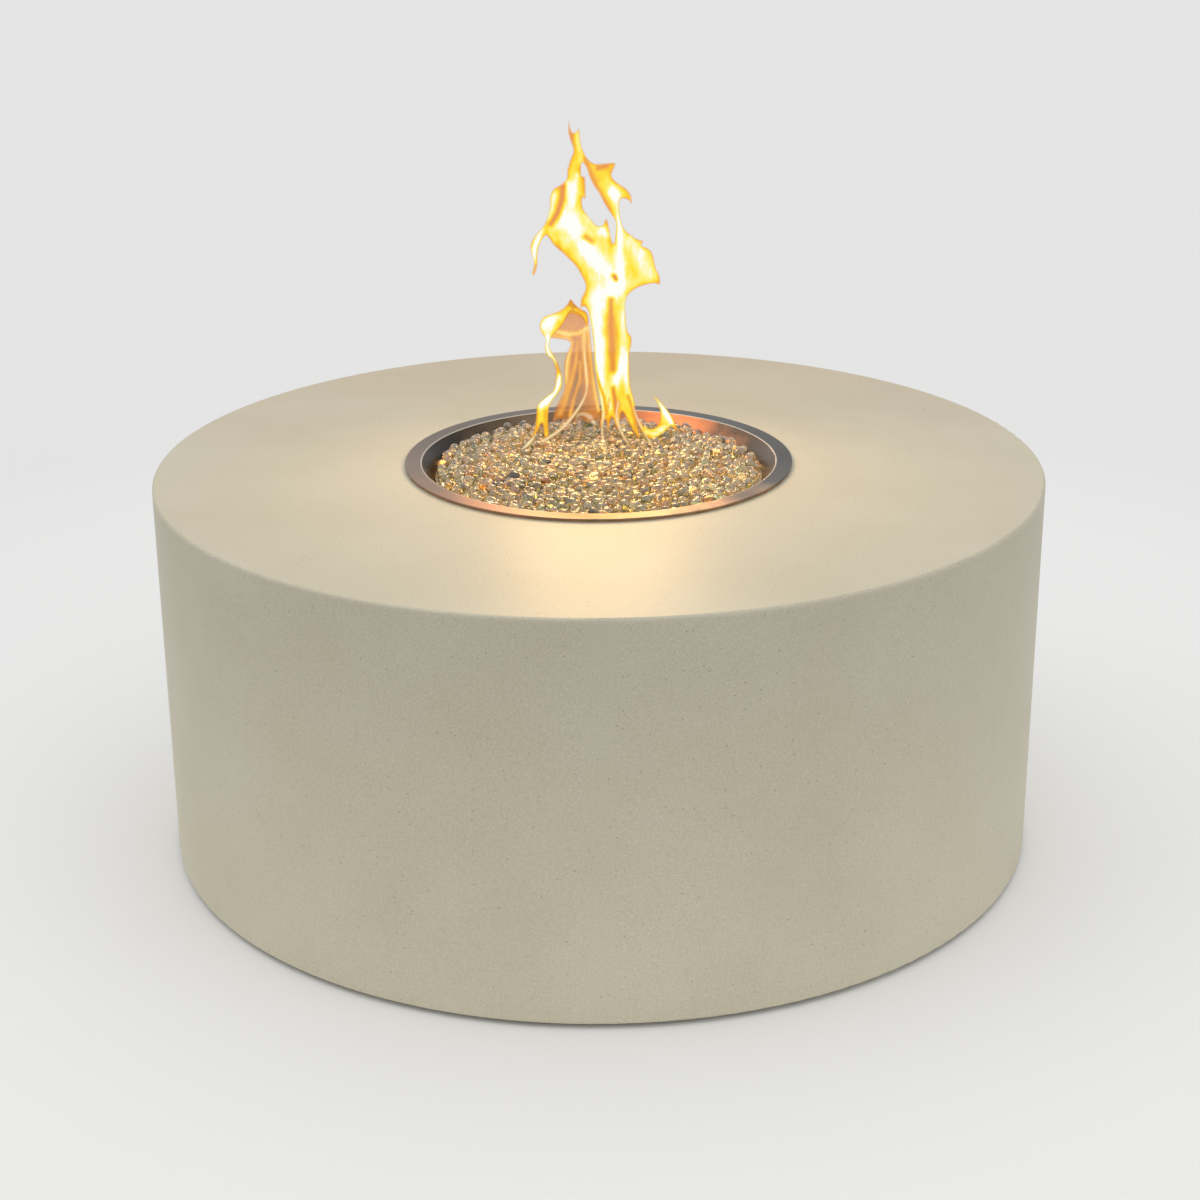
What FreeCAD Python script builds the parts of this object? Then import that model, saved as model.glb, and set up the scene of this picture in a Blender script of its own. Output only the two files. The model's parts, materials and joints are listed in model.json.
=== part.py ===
import FreeCAD, Part
import math
import os

# Gas fire pit table: a round cast concrete body with a drop-in burner pan, a ring burner
# under a bed of glass drops, and the gas valve, igniter, vents and access door at the back.
# Millimetres, +Z up, origin on the floor under the table's centre, controls at +Y.

V = FreeCAD.Vector
os.makedirs("parts", exist_ok=True)

# Concrete body
table_radius = 550.0
body_height = 478.0
wall = 20.0
slab = 22.0
rim_width = 45.0
rim_height = 50.0
top_edge_radius = 3.0
opening_edge_radius = 1.5
foot_edge_radius = 2.0
inner_corner_radius = 20.0
hole_clearance = 0.4
cut_reach = 60.0

# Foot pads
foot_proud = 6.0
foot_radius = 15.0
foot_set_back = 14.0
foot_azimuths = (45.0, 135.0, 225.0, 315.0)
foot_screw_radius = 2.5
foot_screw_head_radius = 5.0
foot_screw_length = 26.0
foot_insert_radius = 4.0
foot_insert_length = 24.0

# Burner pan and its gasket
pan_lip_radius = 241.3
pan_lip_width = 20.3
pan_depth = 78.0
pan_floor_radius = 160.0
pan_sheet = 2.0
pan_bend_radius = 1.5
pan_opening_clearance = 4.0
gasket_thickness = 2.4
gasket_inset = 1.0
drain_count = 6
drain_radius = 4.0
drain_circle_radius = 115.0
drain_first_azimuth = 15.0

# Ring burner
burner_tube_radius = 6.35
burner_tube_wall = 1.0
outer_ring_radius = 146.05
inner_ring_radius = 69.85
burner_above_floor = 30.0
spoke_radius = 5.5
spoke_count = 4
port_radius = 1.2
outer_port_count = 36
inner_port_count = 18
hub_radius = 16.0
hub_height = 32.0
hub_cap = 3.0
hub_above_floor = 7.6

# Half inch pipe thread, and three-eighths flare fittings and hose
pipe_radius = 10.67
pipe_bore_radius = 7.9
nipple_above_floor = 19.6
nipple_below_floor = 24.4
pipe_nut_flats = 28.0
pipe_nut_height = 6.0
pipe_washer_radius = 17.0
pipe_washer_thickness = 1.5
thread_clearance = 0.05
seat_gap = 0.1
flare_radius = 7.94
flare_length = 14.0
flare_nose_radius = 5.0
flare_nose_length = 3.5
gas_bore_radius = 4.2
hose_radius = 6.35
hose_bore_radius = 4.5
flare_nut_flats = 22.0
flare_nut_grip = 11.0
flare_nut_tail = 9.0

# Air mixer and its jet
mixer_radius = 14.0
mixer_length = 54.0
mixer_thread_depth = 15.0
mixer_chamber_radius = 8.5
mixer_foot = 8.0
mixer_nut_gap = 1.7
air_hole_radius = 4.5
air_hole_height = 23.0
jet_thread_radius = 5.95
jet_tip_radius = 4.0
jet_tip_length = 5.0
jet_bore_radius = 0.8
jet_hex_flats = 19.0
jet_hex_length = 7.0

# Key valve
valve_azimuth = 58.0
valve_height = 230.0
valve_behind_wall = 33.0
spot_face_depth = 2.0
spot_face_radius = 34.0
valve_barrel_radius = 17.0
valve_barrel_half = 27.0
valve_hex_flats = 30.0
valve_hex_length = 10.0
chamber_radius = 10.6
ball_radius = 10.0
ball_bore_radius = 6.5
ball_slot_web = 0.9
seat_bore_radius = 6.5
seat_overlap = 0.8
adapter_depth = 12.0
adapter_hex_flats = 24.0
adapter_hex_length = 7.0
stem_radius = 5.8
stem_clearance = 0.05
stem_tang_half = 2.0
stem_square = 8.0
stem_square_length = 17.0
sleeve_radius = 12.0
sleeve_bore_radius = 9.0
sleeve_proud = 4.0
sleeve_bore_depth = 37.0
packing_thickness = 3.9
packing_nut_height = 5.0
stem_lip = 3.0
valve_locknut_flats = 38.0
locknut_height = 8.0
escutcheon_radius = 31.0
escutcheon_height = 8.0
escutcheon_boss_wall = 3.5

# Removable key
key_clearance = 0.1
key_socket_radius = 8.6
key_socket_web = 6.0
key_shank_radius = 5.0
key_reach = 60.0
key_handle_radius = 5.5
key_handle_length = 60.0

# Push-button igniter
igniter_azimuth = 46.5
igniter_height = 230.0
igniter_flange_radius = 17.0
igniter_flange_thickness = 3.0
igniter_lip = 2.0
igniter_body_radius = 11.0
igniter_body_length = 62.0
igniter_end = 5.0
igniter_locknut_flats = 30.0
igniter_locknut_height = 6.0
battery_radius = 7.15
battery_length = 48.5
battery_nub_radius = 2.75
battery_nub_length = 1.5
battery_clearance = 0.35
button_radius = 8.0
button_shoulder_radius = 9.2
button_shoulder = 1.5
button_clearance = 0.2
button_travel = 4.0
button_proud = 6.0
button_dome = 1.5
spring_wire_radius = 0.45
spring_turns = 2.5
terminal_length = 7.0
terminal_half_width = 3.0
terminal_thickness = 1.0

# Spark electrode and its lead
electrode_radius_from_centre = 82.0
insulator_radius = 4.0
insulator_top_above_floor = 27.6
insulator_below_floor = 30.4
collar_radius = 6.5
collar_height = 4.0
electrode_radius = 1.25
electrode_proud = 12.0
electrode_tail = 6.0
bracket_sheet = 1.5
bracket_half_width = 8.0
bracket_leg_half = 11.0
bracket_nut_height = 2.4
bracket_screw_head = 2.0
bracket_foot_half = 23.0
bracket_screw_half = 18.0
bracket_screw_radius = 1.5
bracket_screw_head_radius = 2.8
bracket_nut_flats = 5.5
lead_radius = 1.8
arc_share = 0.45

# Gas inlet bulkhead
inlet_azimuth = 118.0
inlet_height = 105.0
inlet_body_radius = 8.9
inlet_body_inside = 16.0
inlet_collar = 6.0
inlet_hex_flats = 24.0
inlet_locknut_height = 5.0
inlet_spot_radius = 18.0

# Hoses and lead between their straight ends
hose_end_run = 60.0
burner_hose_rise = 64.0
burner_hose_end_run = 61.0
lead_end_run = 39.0
lead_bend_out = 6.0
lead_bend_drop = 44.0
lead_rise = 24.0
# Share of the way round from the inlet to the valve, distance inside the wall, drop below the inlet
supply_stations = (
    (0.102, 130.2, 4.0), (0.278, 122.1, 12.0), (0.449, 101.9, 22.0),
    (0.617, 84.5, 28.0), (0.777, 66.7, 31.0), (0.92, 44.3, 25.0),
)
# Share of the valve's distance from the centre, rise over the line between the two ends
burner_hose_stations = (
    (0.913, 49.8), (0.781, 72.3), (0.628, 61.4), (0.493, 22.1),
    (0.38, -27.0), (0.258, -59.3), (0.131, -65.3), (0.046, -41.7),
)
# Share of the way in to the electrode, rise over the line between the two ends
lead_stations = (
    (0.127, -2.7), (0.269, 4.1), (0.412, 22.9), (0.554, 37.7),
    (0.696, 41.5), (0.824, 14.7), (0.932, -5.1),
)

# Access door and its frame
door_azimuth = 90.0
door_width = 280.0
door_height = 240.0
door_bottom = 110.0
door_corner_radius = 10.0
frame_fit = 0.5
frame_sheet = 1.5
frame_flange = 22.0
frame_depth = 36.0
frame_stop = 20.0
skin_gap = 0.2
door_gap = 1.5
door_sheet = 2.0
door_return = 14.0
frame_screw_inset = 15.0

# Door hinges, catch and pull
hinge_heights = (150.0, 310.0)
barrel_radius = 4.0
barrel_off_face = 4.7
hinge_pin_radius = 2.0
hinge_pin_clearance = 0.05
hinge_pin_head = 1.5
hinge_length = 40.0
door_knuckle = 15.4
knuckle_gap = 0.3
leaf_sheet = 1.5
leaf_gap = 0.1
leaf_start = 5.0
door_leaf_end = 30.0
frame_leaf_end = 20.0
rivet_radius = 1.6
rivet_head_radius = 3.0
rivet_head = 1.2
rivet_tail_radius = 2.6
rivet_tail = 0.8
rivet_offsets = (12.0, 24.0)
rivet_half_height = 13.0
catch_from_side = 6.0
catch_half_width = 10.0
catch_half_height = 16.0
magnet_half_width = 6.0
magnet_half_height = 10.0
magnet_depth = 7.0
striker_thickness = 2.0
striker_gap = 0.3
pull_from_catch = 29.0
pull_head_radius = 10.0
pull_neck_radius = 5.0
pull_length = 16.0
pull_screw_radius = 2.0

# Vent grilles
vent_azimuths = (25.0, 155.0)
vent_names = ("vent_grille_right", "vent_grille_left")
vent_half_width = 65.0
vent_height = 50.0
vent_bottom = 300.0
vent_corner_radius = 8.0
vent_flange = 14.0
vent_sheet = 1.5
slot_count = 6
slot_height = 3.6
slot_pitch = 7.4
slot_half_length = 56.0
hood_height = 1.2
hood_proud = 2.5

# Screws and plugs in the concrete wall
screw_radius = 1.9
screw_head_radius = 3.8
screw_head = 2.2
screw_length = 13.0
plug_radius = 3.0
plug_length = 15.0
plug_clearance = 0.05

# Glass bed and drops
bed_below_lip = 21.0
bed_rise = 12.0
bed_clearance = 0.3
drop_radius = 8.0
drop_flatness = 0.62
drop_edge_radius = 3.0
drop_count = 230
drop_edge_margin = 12.0
drop_clearance = 0.3
drop_lean = 28.0
drop_lean_step = 12.99
drop_turn_step = 78.23

# Flame, thin tongues above the back of the outer ring
flame_depth = 14.0
flame_flatness = 0.7
flame_sections_per_station = 3

# Places worked out from the sizes above
top_z = foot_proud + body_height
inner_radius = table_radius - wall
foot_centre = table_radius - foot_set_back - foot_radius
lip_top = top_z + gasket_thickness + pan_sheet
pan_throat_radius = pan_lip_radius - pan_lip_width
floor_top = lip_top - pan_depth
floor_bottom = floor_top - pan_sheet
burner_z = floor_top + burner_above_floor
seat_radius = table_radius - spot_face_depth
skin_inner = table_radius + skin_gap
skin_outer = skin_inner + frame_sheet
catch_offset = door_width / 2 - catch_from_side - catch_half_width
pull_offset = catch_offset - pull_from_catch


def turn(shape, azimuth):
    """Turns a shape drawn along +X about the vertical axis to its azimuth."""
    turned = shape.copy()
    turned.rotate(V(0, 0, 0), V(0, 0, 1), azimuth)
    return turned


def point_at(radius, azimuth, height):
    angle = math.radians(azimuth)
    return V(radius * math.cos(angle), radius * math.sin(angle), height)


def rod_x(radius, start, end, y=0.0, z=0.0):
    return Part.makeCylinder(radius, end - start, V(start, y, z), V(1, 0, 0))


def rod_z(radius, start, end, x=0.0, y=0.0):
    return Part.makeCylinder(radius, end - start, V(x, y, start), V(0, 0, 1))


def ring_x(outer, inner, start, end, z=0.0):
    return rod_x(outer, start, end, 0.0, z).cut(rod_x(inner, start - 1, end + 1, 0.0, z))


def ring_z(outer, inner, start, end, x=0.0):
    return rod_z(outer, start, end, x).cut(rod_z(inner, start - 1, end + 1, x))


def block(x0, x1, y0, y1, z0, z1):
    return Part.makeBox(x1 - x0, y1 - y0, z1 - z0, V(x0, y0, z0))


def hexagon_z(flats, start, end, x=0.0):
    reach = flats / math.sqrt(3)
    angles = [math.radians(60 * i) for i in range(7)]
    corners = [V(x + reach * math.cos(a), reach * math.sin(a), start) for a in angles]
    return Part.Face(Part.makePolygon(corners)).extrude(V(0, 0, end - start))


def lay_down(shape):
    """Turns a shape built along +Z so that it lies along +X."""
    laid = shape.copy()
    laid.rotate(V(0, 0, 0), V(0, 1, 0), 90)
    return laid


def flip(shape):
    """Turns a shape built up along +Z over, so that it hangs along -Z."""
    flipped = shape.copy()
    flipped.rotate(V(0, 0, 0), V(1, 0, 0), 180)
    return flipped


def moved(shape, x=0.0, y=0.0, z=0.0):
    shifted = shape.copy()
    shifted.translate(V(x, y, z))
    return shifted


def hexagon_x(flats, start, end, z=0.0):
    return moved(lay_down(hexagon_z(flats, start, end)), 0, 0, z)


def rounded_corner(before, here, after, radius):
    """Start, middle and end of the arc that rounds a corner, or the corner itself."""
    if radius <= 0:
        return here, None, here
    back = (before - here).normalize()
    ahead = (after - here).normalize()
    half = back.getAngle(ahead) / 2
    reach = radius / math.tan(half)
    bisector = (back + ahead).normalize()
    centre = here + bisector * (radius / math.sin(half))
    return here + back * reach, centre - bisector * radius, here + ahead * reach


def joined(corners, closed):
    """Straight edges between rounded corners, with the arcs at the corners."""
    edges = []
    last = corners[-1][2] if closed else corners[0][2]
    for start, middle, end in corners if closed else corners[1:]:
        if (start - last).Length > 1e-6:
            edges.append(Part.LineSegment(last, start).toShape())
        if middle is not None:
            edges.append(Part.Arc(start, middle, end).toShape())
        last = end
    return Part.Wire(edges)


def rounded_outline(points):
    """Closed outline of points, each followed by the radius of its corner."""
    corners = []
    for i, (here, radius) in enumerate(points):
        before = points[i - 1][0]
        after = points[(i + 1) % len(points)][0]
        corners.append(rounded_corner(before, here, after, radius))
    return joined(corners, True)


def spun(points):
    """Solid of revolution about Z from (radius, height) or (radius, height, corner)."""
    outline = [(V(p[0], 0, p[1]), p[2] if len(p) > 2 else 0) for p in points]
    face = Part.Face(rounded_outline(outline))
    return face.revolve(V(0, 0, 0), V(0, 0, 1), 360)


def spun_x(points, start):
    """The same solid lying along +X from a starting place."""
    return moved(lay_down(spun(points)), start)


def window(half_width, low, high, near, far, radius):
    """Block along +X with its four long edges rounded, for openings and their frames."""
    points = [
        (V(near, -half_width, low), radius),
        (V(near, half_width, low), radius),
        (V(near, half_width, high), radius),
        (V(near, -half_width, high), radius),
    ]
    return Part.Face(rounded_outline(points)).extrude(V(far - near, 0, 0))


def skin(inner, outer, low, high):
    """Upright cylindrical sheet about the table's axis, with its seam away from +X."""
    return turn(ring_z(outer, inner, low, high), 180)


def hose_path(points):
    """Straight runs joined by tangent arcs as large as each pair of runs allows."""
    corners = [(points[0], None, points[0])]
    radii = []
    for before, here, after in zip(points, points[1:], points[2:]):
        shorter = min((before - here).Length, (after - here).Length)
        half = (before - here).getAngle(after - here) / 2
        radii.append(arc_share * shorter * math.tan(half))
        corners.append(rounded_corner(before, here, after, radii[-1]))
    corners.append((points[-1], None, points[-1]))
    print("runs", [round((b - a).Length) for a, b in zip(points, points[1:])])
    print("radii", [round(radius) for radius in radii])
    return joined(corners, False)


def swept(path, radius):
    start = path.Edges[0]
    circle = Part.Circle(start.valueAt(start.FirstParameter), start.tangentAt(start.FirstParameter), radius)
    return path.makePipeShell([Part.Wire(circle.toShape())], True, False)


def hose(points, outer, inner):
    path = hose_path(points)
    body = swept(path, outer)
    if inner:
        body = body.cut(swept(path, inner))
    print("hose length", round(path.Length, 1), "radius", outer)
    return body


def save(name, *solids):
    """Writes one node, and checks that every solid in it is sound."""
    shape = solids[0] if len(solids) == 1 else Part.makeCompound(list(solids))
    bad = [s for s in shape.Solids if not s.isValid() or s.Volume <= 0]
    if bad or not shape.Solids:
        raise ValueError(name + " has an unsound solid")
    shape.exportStep("parts/" + name + ".step")
    print(name, len(shape.Solids), round(sum(s.Volume for s in shape.Solids), 1))


def pan_inner_radius(height):
    share = (height - floor_top) / pan_depth
    return pan_floor_radius + (pan_throat_radius - pan_floor_radius) * share


def pan_wall_across(thickness):
    """Level distance across a thickness measured square to the pan's sloping wall."""
    lean = math.atan2(pan_throat_radius - pan_floor_radius, pan_depth)
    return thickness / math.cos(lean)


def pan_opening_radius():
    return pan_inner_radius(top_z) + pan_wall_across(pan_sheet) + pan_opening_clearance


def frame_screw_places():
    """Angle from the door's middle and height of each screw in the door frame."""
    flange_half = door_width / 2 - frame_fit + frame_flange / 2
    spread = math.degrees(math.asin(flange_half / table_radius))
    reach = door_height / 2 - frame_screw_inset
    middle = door_bottom + door_height / 2
    return [(side * spread, middle + row * reach) for side in (-1, 1) for row in (-1, 0, 1)]


def vent_screw_places():
    """Angle from a vent's middle and height of each screw in its grille."""
    spread = math.degrees(math.asin((vent_half_width + vent_flange / 2) / table_radius))
    low = vent_bottom - vent_flange / 2
    high = vent_bottom + vent_height + vent_flange / 2
    return [(side * spread, z) for side in (-1, 1) for z in (low, high)]


def wall_screw_places():
    """Azimuth and height of every screw that goes into the concrete wall."""
    places = [(door_azimuth + angle, z) for angle, z in frame_screw_places()]
    for azimuth in vent_azimuths:
        places += [(azimuth + angle, z) for angle, z in vent_screw_places()]
    return places


def table_shell():
    opening = pan_opening_radius()
    step = rim_width - wall
    shell = spun([
        (opening, top_z, opening_edge_radius),
        (table_radius, top_z, top_edge_radius),
        (table_radius, foot_proud, foot_edge_radius),
        (table_radius - rim_width, foot_proud),
        (table_radius - rim_width, foot_proud + rim_height),
        (inner_radius, foot_proud + rim_height + step),
        (inner_radius, top_z - slab, inner_corner_radius),
        (opening, top_z - slab),
    ])
    cuts = []
    near = inner_radius - cut_reach
    far = table_radius + cut_reach
    door = window(door_width / 2, door_bottom, door_bottom + door_height, near, far, door_corner_radius)
    cuts.append(turn(door, door_azimuth))
    for azimuth in vent_azimuths:
        vent = window(vent_half_width, vent_bottom, vent_bottom + vent_height, near, far, vent_corner_radius)
        cuts.append(turn(vent, azimuth))
    holes = (
        (valve_azimuth, valve_height, sleeve_radius, spot_face_radius),
        (igniter_azimuth, igniter_height, igniter_body_radius, igniter_flange_radius + 2),
        (inlet_azimuth, inlet_height, inlet_body_radius, inlet_spot_radius),
    )
    for azimuth, height, radius, spot in holes:
        cuts.append(turn(rod_x(radius + hole_clearance, near, far, 0, height), azimuth))
        cuts.append(turn(rod_x(spot, seat_radius, far, 0, height), azimuth))
    for azimuth, height in wall_screw_places():
        depth = table_radius - plug_length - 2 * seat_gap
        cuts.append(turn(rod_x(plug_radius + plug_clearance, depth, far, 0, height), azimuth))
    for azimuth in foot_azimuths:
        top = foot_proud + foot_insert_length + seat_gap
        cuts.append(turn(rod_z(foot_insert_radius + plug_clearance, 0, top, foot_centre), azimuth))
    save("table_shell", shell.cut(cuts))


def feet():
    head_room = foot_proud / 2
    pad = moved(spun([
        (foot_screw_radius + seat_gap, head_room),
        (foot_screw_head_radius + seat_gap, head_room),
        (foot_screw_head_radius + seat_gap, 0),
        (foot_radius - 1, 0, 1),
        (foot_radius, foot_proud, 0),
        (foot_screw_radius + seat_gap, foot_proud),
    ]), foot_centre)
    screw = moved(spun([
        (0, head_room / 4),
        (foot_screw_head_radius, head_room / 4, 0.5),
        (foot_screw_head_radius, head_room),
        (foot_screw_radius, head_room),
        (foot_screw_radius, head_room + foot_screw_length, 1),
        (0, head_room + foot_screw_length),
    ]), foot_centre)
    insert = ring_z(
        foot_insert_radius,
        foot_screw_radius + thread_clearance,
        foot_proud + seat_gap,
        foot_proud + foot_insert_length,
        foot_centre,
    )
    save("foot_pads", *[turn(pad, azimuth) for azimuth in foot_azimuths])
    save("foot_screws", *[turn(screw, azimuth) for azimuth in foot_azimuths])
    save("foot_inserts", *[turn(insert, azimuth) for azimuth in foot_azimuths])


def pan_and_gasket():
    bearing = pan_opening_radius() + opening_edge_radius
    save("pan_gasket", ring_z(pan_lip_radius - gasket_inset, bearing, top_z, top_z + gasket_thickness))
    lip_bottom = lip_top - pan_sheet
    outer_throat = pan_inner_radius(lip_bottom) + pan_wall_across(pan_sheet)
    outer_floor = pan_inner_radius(floor_bottom) + pan_wall_across(pan_sheet)
    pan = spun([
        (0, floor_top),
        (pan_floor_radius, floor_top, pan_bend_radius),
        (pan_throat_radius, lip_top, pan_bend_radius),
        (pan_lip_radius, lip_top, pan_sheet / 3),
        (pan_lip_radius, lip_bottom, pan_sheet / 3),
        (outer_throat, lip_bottom, pan_bend_radius),
        (outer_floor, floor_bottom, pan_bend_radius + pan_sheet),
        (0, floor_bottom),
    ])
    low = floor_bottom - 1
    high = floor_top + 1
    holes = [rod_z(pipe_radius + hole_clearance, low, high)]
    for i in range(drain_count):
        azimuth = drain_first_azimuth + 360 * i / drain_count
        holes.append(turn(rod_z(drain_radius, low, high, drain_circle_radius), azimuth))
    place = electrode_radius_from_centre
    holes.append(turn(rod_z(insulator_radius + hole_clearance, low, high, place), igniter_azimuth))
    for side in (-1, 1):
        hole = rod_z(bracket_screw_radius + seat_gap, low, high, place, side * bracket_screw_half)
        holes.append(turn(hole, igniter_azimuth))
    save("burner_pan", pan.cut(holes))


def burner_ring(radius, ports, sides):
    tube = Part.makeTorus(radius, burner_tube_radius)
    bore = Part.makeTorus(radius, burner_tube_radius - burner_tube_wall)
    ring = tube.cut(bore)
    tools = []
    for i in range(ports):
        angle = 360 * (i + 0.5) / ports
        tools.append(turn(rod_z(port_radius, 0, burner_tube_radius + 1, radius), angle))
    near = radius - burner_tube_radius - 1
    far = radius + burner_tube_radius + 1
    for i in range(spoke_count):
        spans = [(near, radius)] if sides == 1 else [(near, far)]
        for start, end in spans:
            rod = rod_x(spoke_radius - burner_tube_wall, start, end)
            tools.append(turn(rod, 360 * i / spoke_count))
    return moved(ring.cut(tools), 0, 0, burner_z)


def burner():
    save("burner_ring_outer", burner_ring(outer_ring_radius, outer_port_count, 1))
    save("burner_ring_inner", burner_ring(inner_ring_radius, inner_port_count, 2))
    hub_low = floor_top + hub_above_floor
    hub_high = hub_low + hub_height
    nipple_top = floor_top + nipple_above_floor
    hub = rod_z(hub_radius, hub_low, hub_high)
    thread = pipe_radius + thread_clearance
    hub = hub.cut(rod_z(thread, hub_low - 1, nipple_top + 2))
    hub = hub.cut(rod_z(thread - 1, nipple_top, hub_high - hub_cap))
    bore = spoke_radius - burner_tube_wall
    angles = [360 * i / spoke_count for i in range(spoke_count)]
    hub = hub.cut([turn(rod_x(bore, 0, hub_radius + 1, 0, burner_z), angle) for angle in angles])
    save("burner_hub", hub)
    inner_solid = moved(Part.makeTorus(inner_ring_radius, burner_tube_radius), 0, 0, burner_z)
    outer_solid = moved(Part.makeTorus(outer_ring_radius, burner_tube_radius), 0, 0, burner_z)
    hub_solid = rod_z(hub_radius, hub_low, hub_high)
    spokes = []
    for angle in angles:
        first = ring_x(spoke_radius, bore, hub_radius / 2, inner_ring_radius, burner_z)
        second = ring_x(spoke_radius, bore, inner_ring_radius, outer_ring_radius, burner_z)
        spokes.append(turn(first.cut([hub_solid, inner_solid]), angle))
        spokes.append(turn(second.cut([inner_solid, outer_solid]), angle))
    save("burner_spokes", *[solid for spoke in spokes for solid in spoke.Solids])


def pipe_stack():
    nipple_top = floor_top + nipple_above_floor
    nipple_bottom = floor_top - nipple_below_floor
    save("burner_nipple", ring_z(pipe_radius, pipe_bore_radius, nipple_bottom, nipple_top))
    thread = pipe_radius + thread_clearance
    upper_low = floor_top + seat_gap
    upper = hexagon_z(pipe_nut_flats, upper_low, upper_low + pipe_nut_height)
    washer_top = floor_bottom - seat_gap
    washer_low = washer_top - pipe_washer_thickness
    lower_top = washer_low - seat_gap
    lower = hexagon_z(pipe_nut_flats, lower_top - pipe_nut_height, lower_top)
    bore = rod_z(thread, nipple_bottom - 1, nipple_top + 1)
    save("nipple_locknuts", upper.cut(bore), lower.cut(bore))
    save("nipple_washer", ring_z(pipe_washer_radius, pipe_radius + hole_clearance, washer_low, washer_top))

    mixer_top = lower_top - pipe_nut_height - mixer_nut_gap
    mixer_low = mixer_top - mixer_length
    mixer = rod_z(mixer_radius, mixer_low, mixer_top)
    air_z = mixer_low + air_hole_height
    mixer = mixer.cut([
        rod_z(thread, mixer_top - mixer_thread_depth, mixer_top + 1),
        rod_z(mixer_chamber_radius, mixer_low + mixer_foot, mixer_top - mixer_thread_depth + 1),
        rod_z(jet_thread_radius + thread_clearance, mixer_low - 1, mixer_low + mixer_foot + 1),
        rod_x(air_hole_radius, -mixer_radius - 1, mixer_radius + 1, 0, air_z),
    ])
    save("air_mixer", mixer)

    tip_top = mixer_foot + jet_tip_length
    nose = -jet_hex_length - flare_length
    jet = spun([
        (jet_bore_radius, tip_top),
        (jet_tip_radius, tip_top, 1),
        (jet_tip_radius, mixer_foot),
        (jet_thread_radius, mixer_foot),
        (jet_thread_radius, -1),
        (flare_radius, -1),
        (flare_radius, nose + flare_nose_length),
        (flare_nose_radius, nose),
        (gas_bore_radius, nose),
        (gas_bore_radius, mixer_foot / 2),
        (jet_bore_radius, mixer_foot / 2 + gas_bore_radius),
    ])
    collar = hexagon_z(jet_hex_flats, -jet_hex_length, 0)
    jet = jet.fuse(collar.cut(rod_z(gas_bore_radius, nose, 1)))
    save("gas_jet", moved(jet.removeSplitter(), 0, 0, mixer_low))
    return V(0, 0, mixer_low + nose)


def flare_nut():
    """Nut on the end of a hose: the fitting's nose is at height 0 and the hose leaves up."""
    nut = hexagon_z(flare_nut_flats, -flare_nut_grip, flare_nut_tail)
    nut = nut.cut(rod_z(flare_radius + thread_clearance, -flare_nut_grip - 1, seat_gap))
    return nut.cut(rod_z(hose_radius + thread_clearance, -1, flare_nut_tail + 1))


def valve_adapter():
    """Pipe thread from height 0 up to a hexagon, and a male flare that points up."""
    hexed = adapter_depth + adapter_hex_length
    nose = hexed + flare_length
    body = spun([
        (gas_bore_radius, 0),
        (pipe_radius, 0),
        (pipe_radius, adapter_depth + 1),
        (flare_radius, adapter_depth + 1),
        (flare_radius, nose - flare_nose_length),
        (flare_nose_radius, nose),
        (gas_bore_radius, nose),
    ])
    collar = hexagon_z(adapter_hex_flats, adapter_depth, hexed)
    return body.fuse(collar.cut(rod_z(gas_bore_radius, 0, nose))).removeSplitter()


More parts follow.
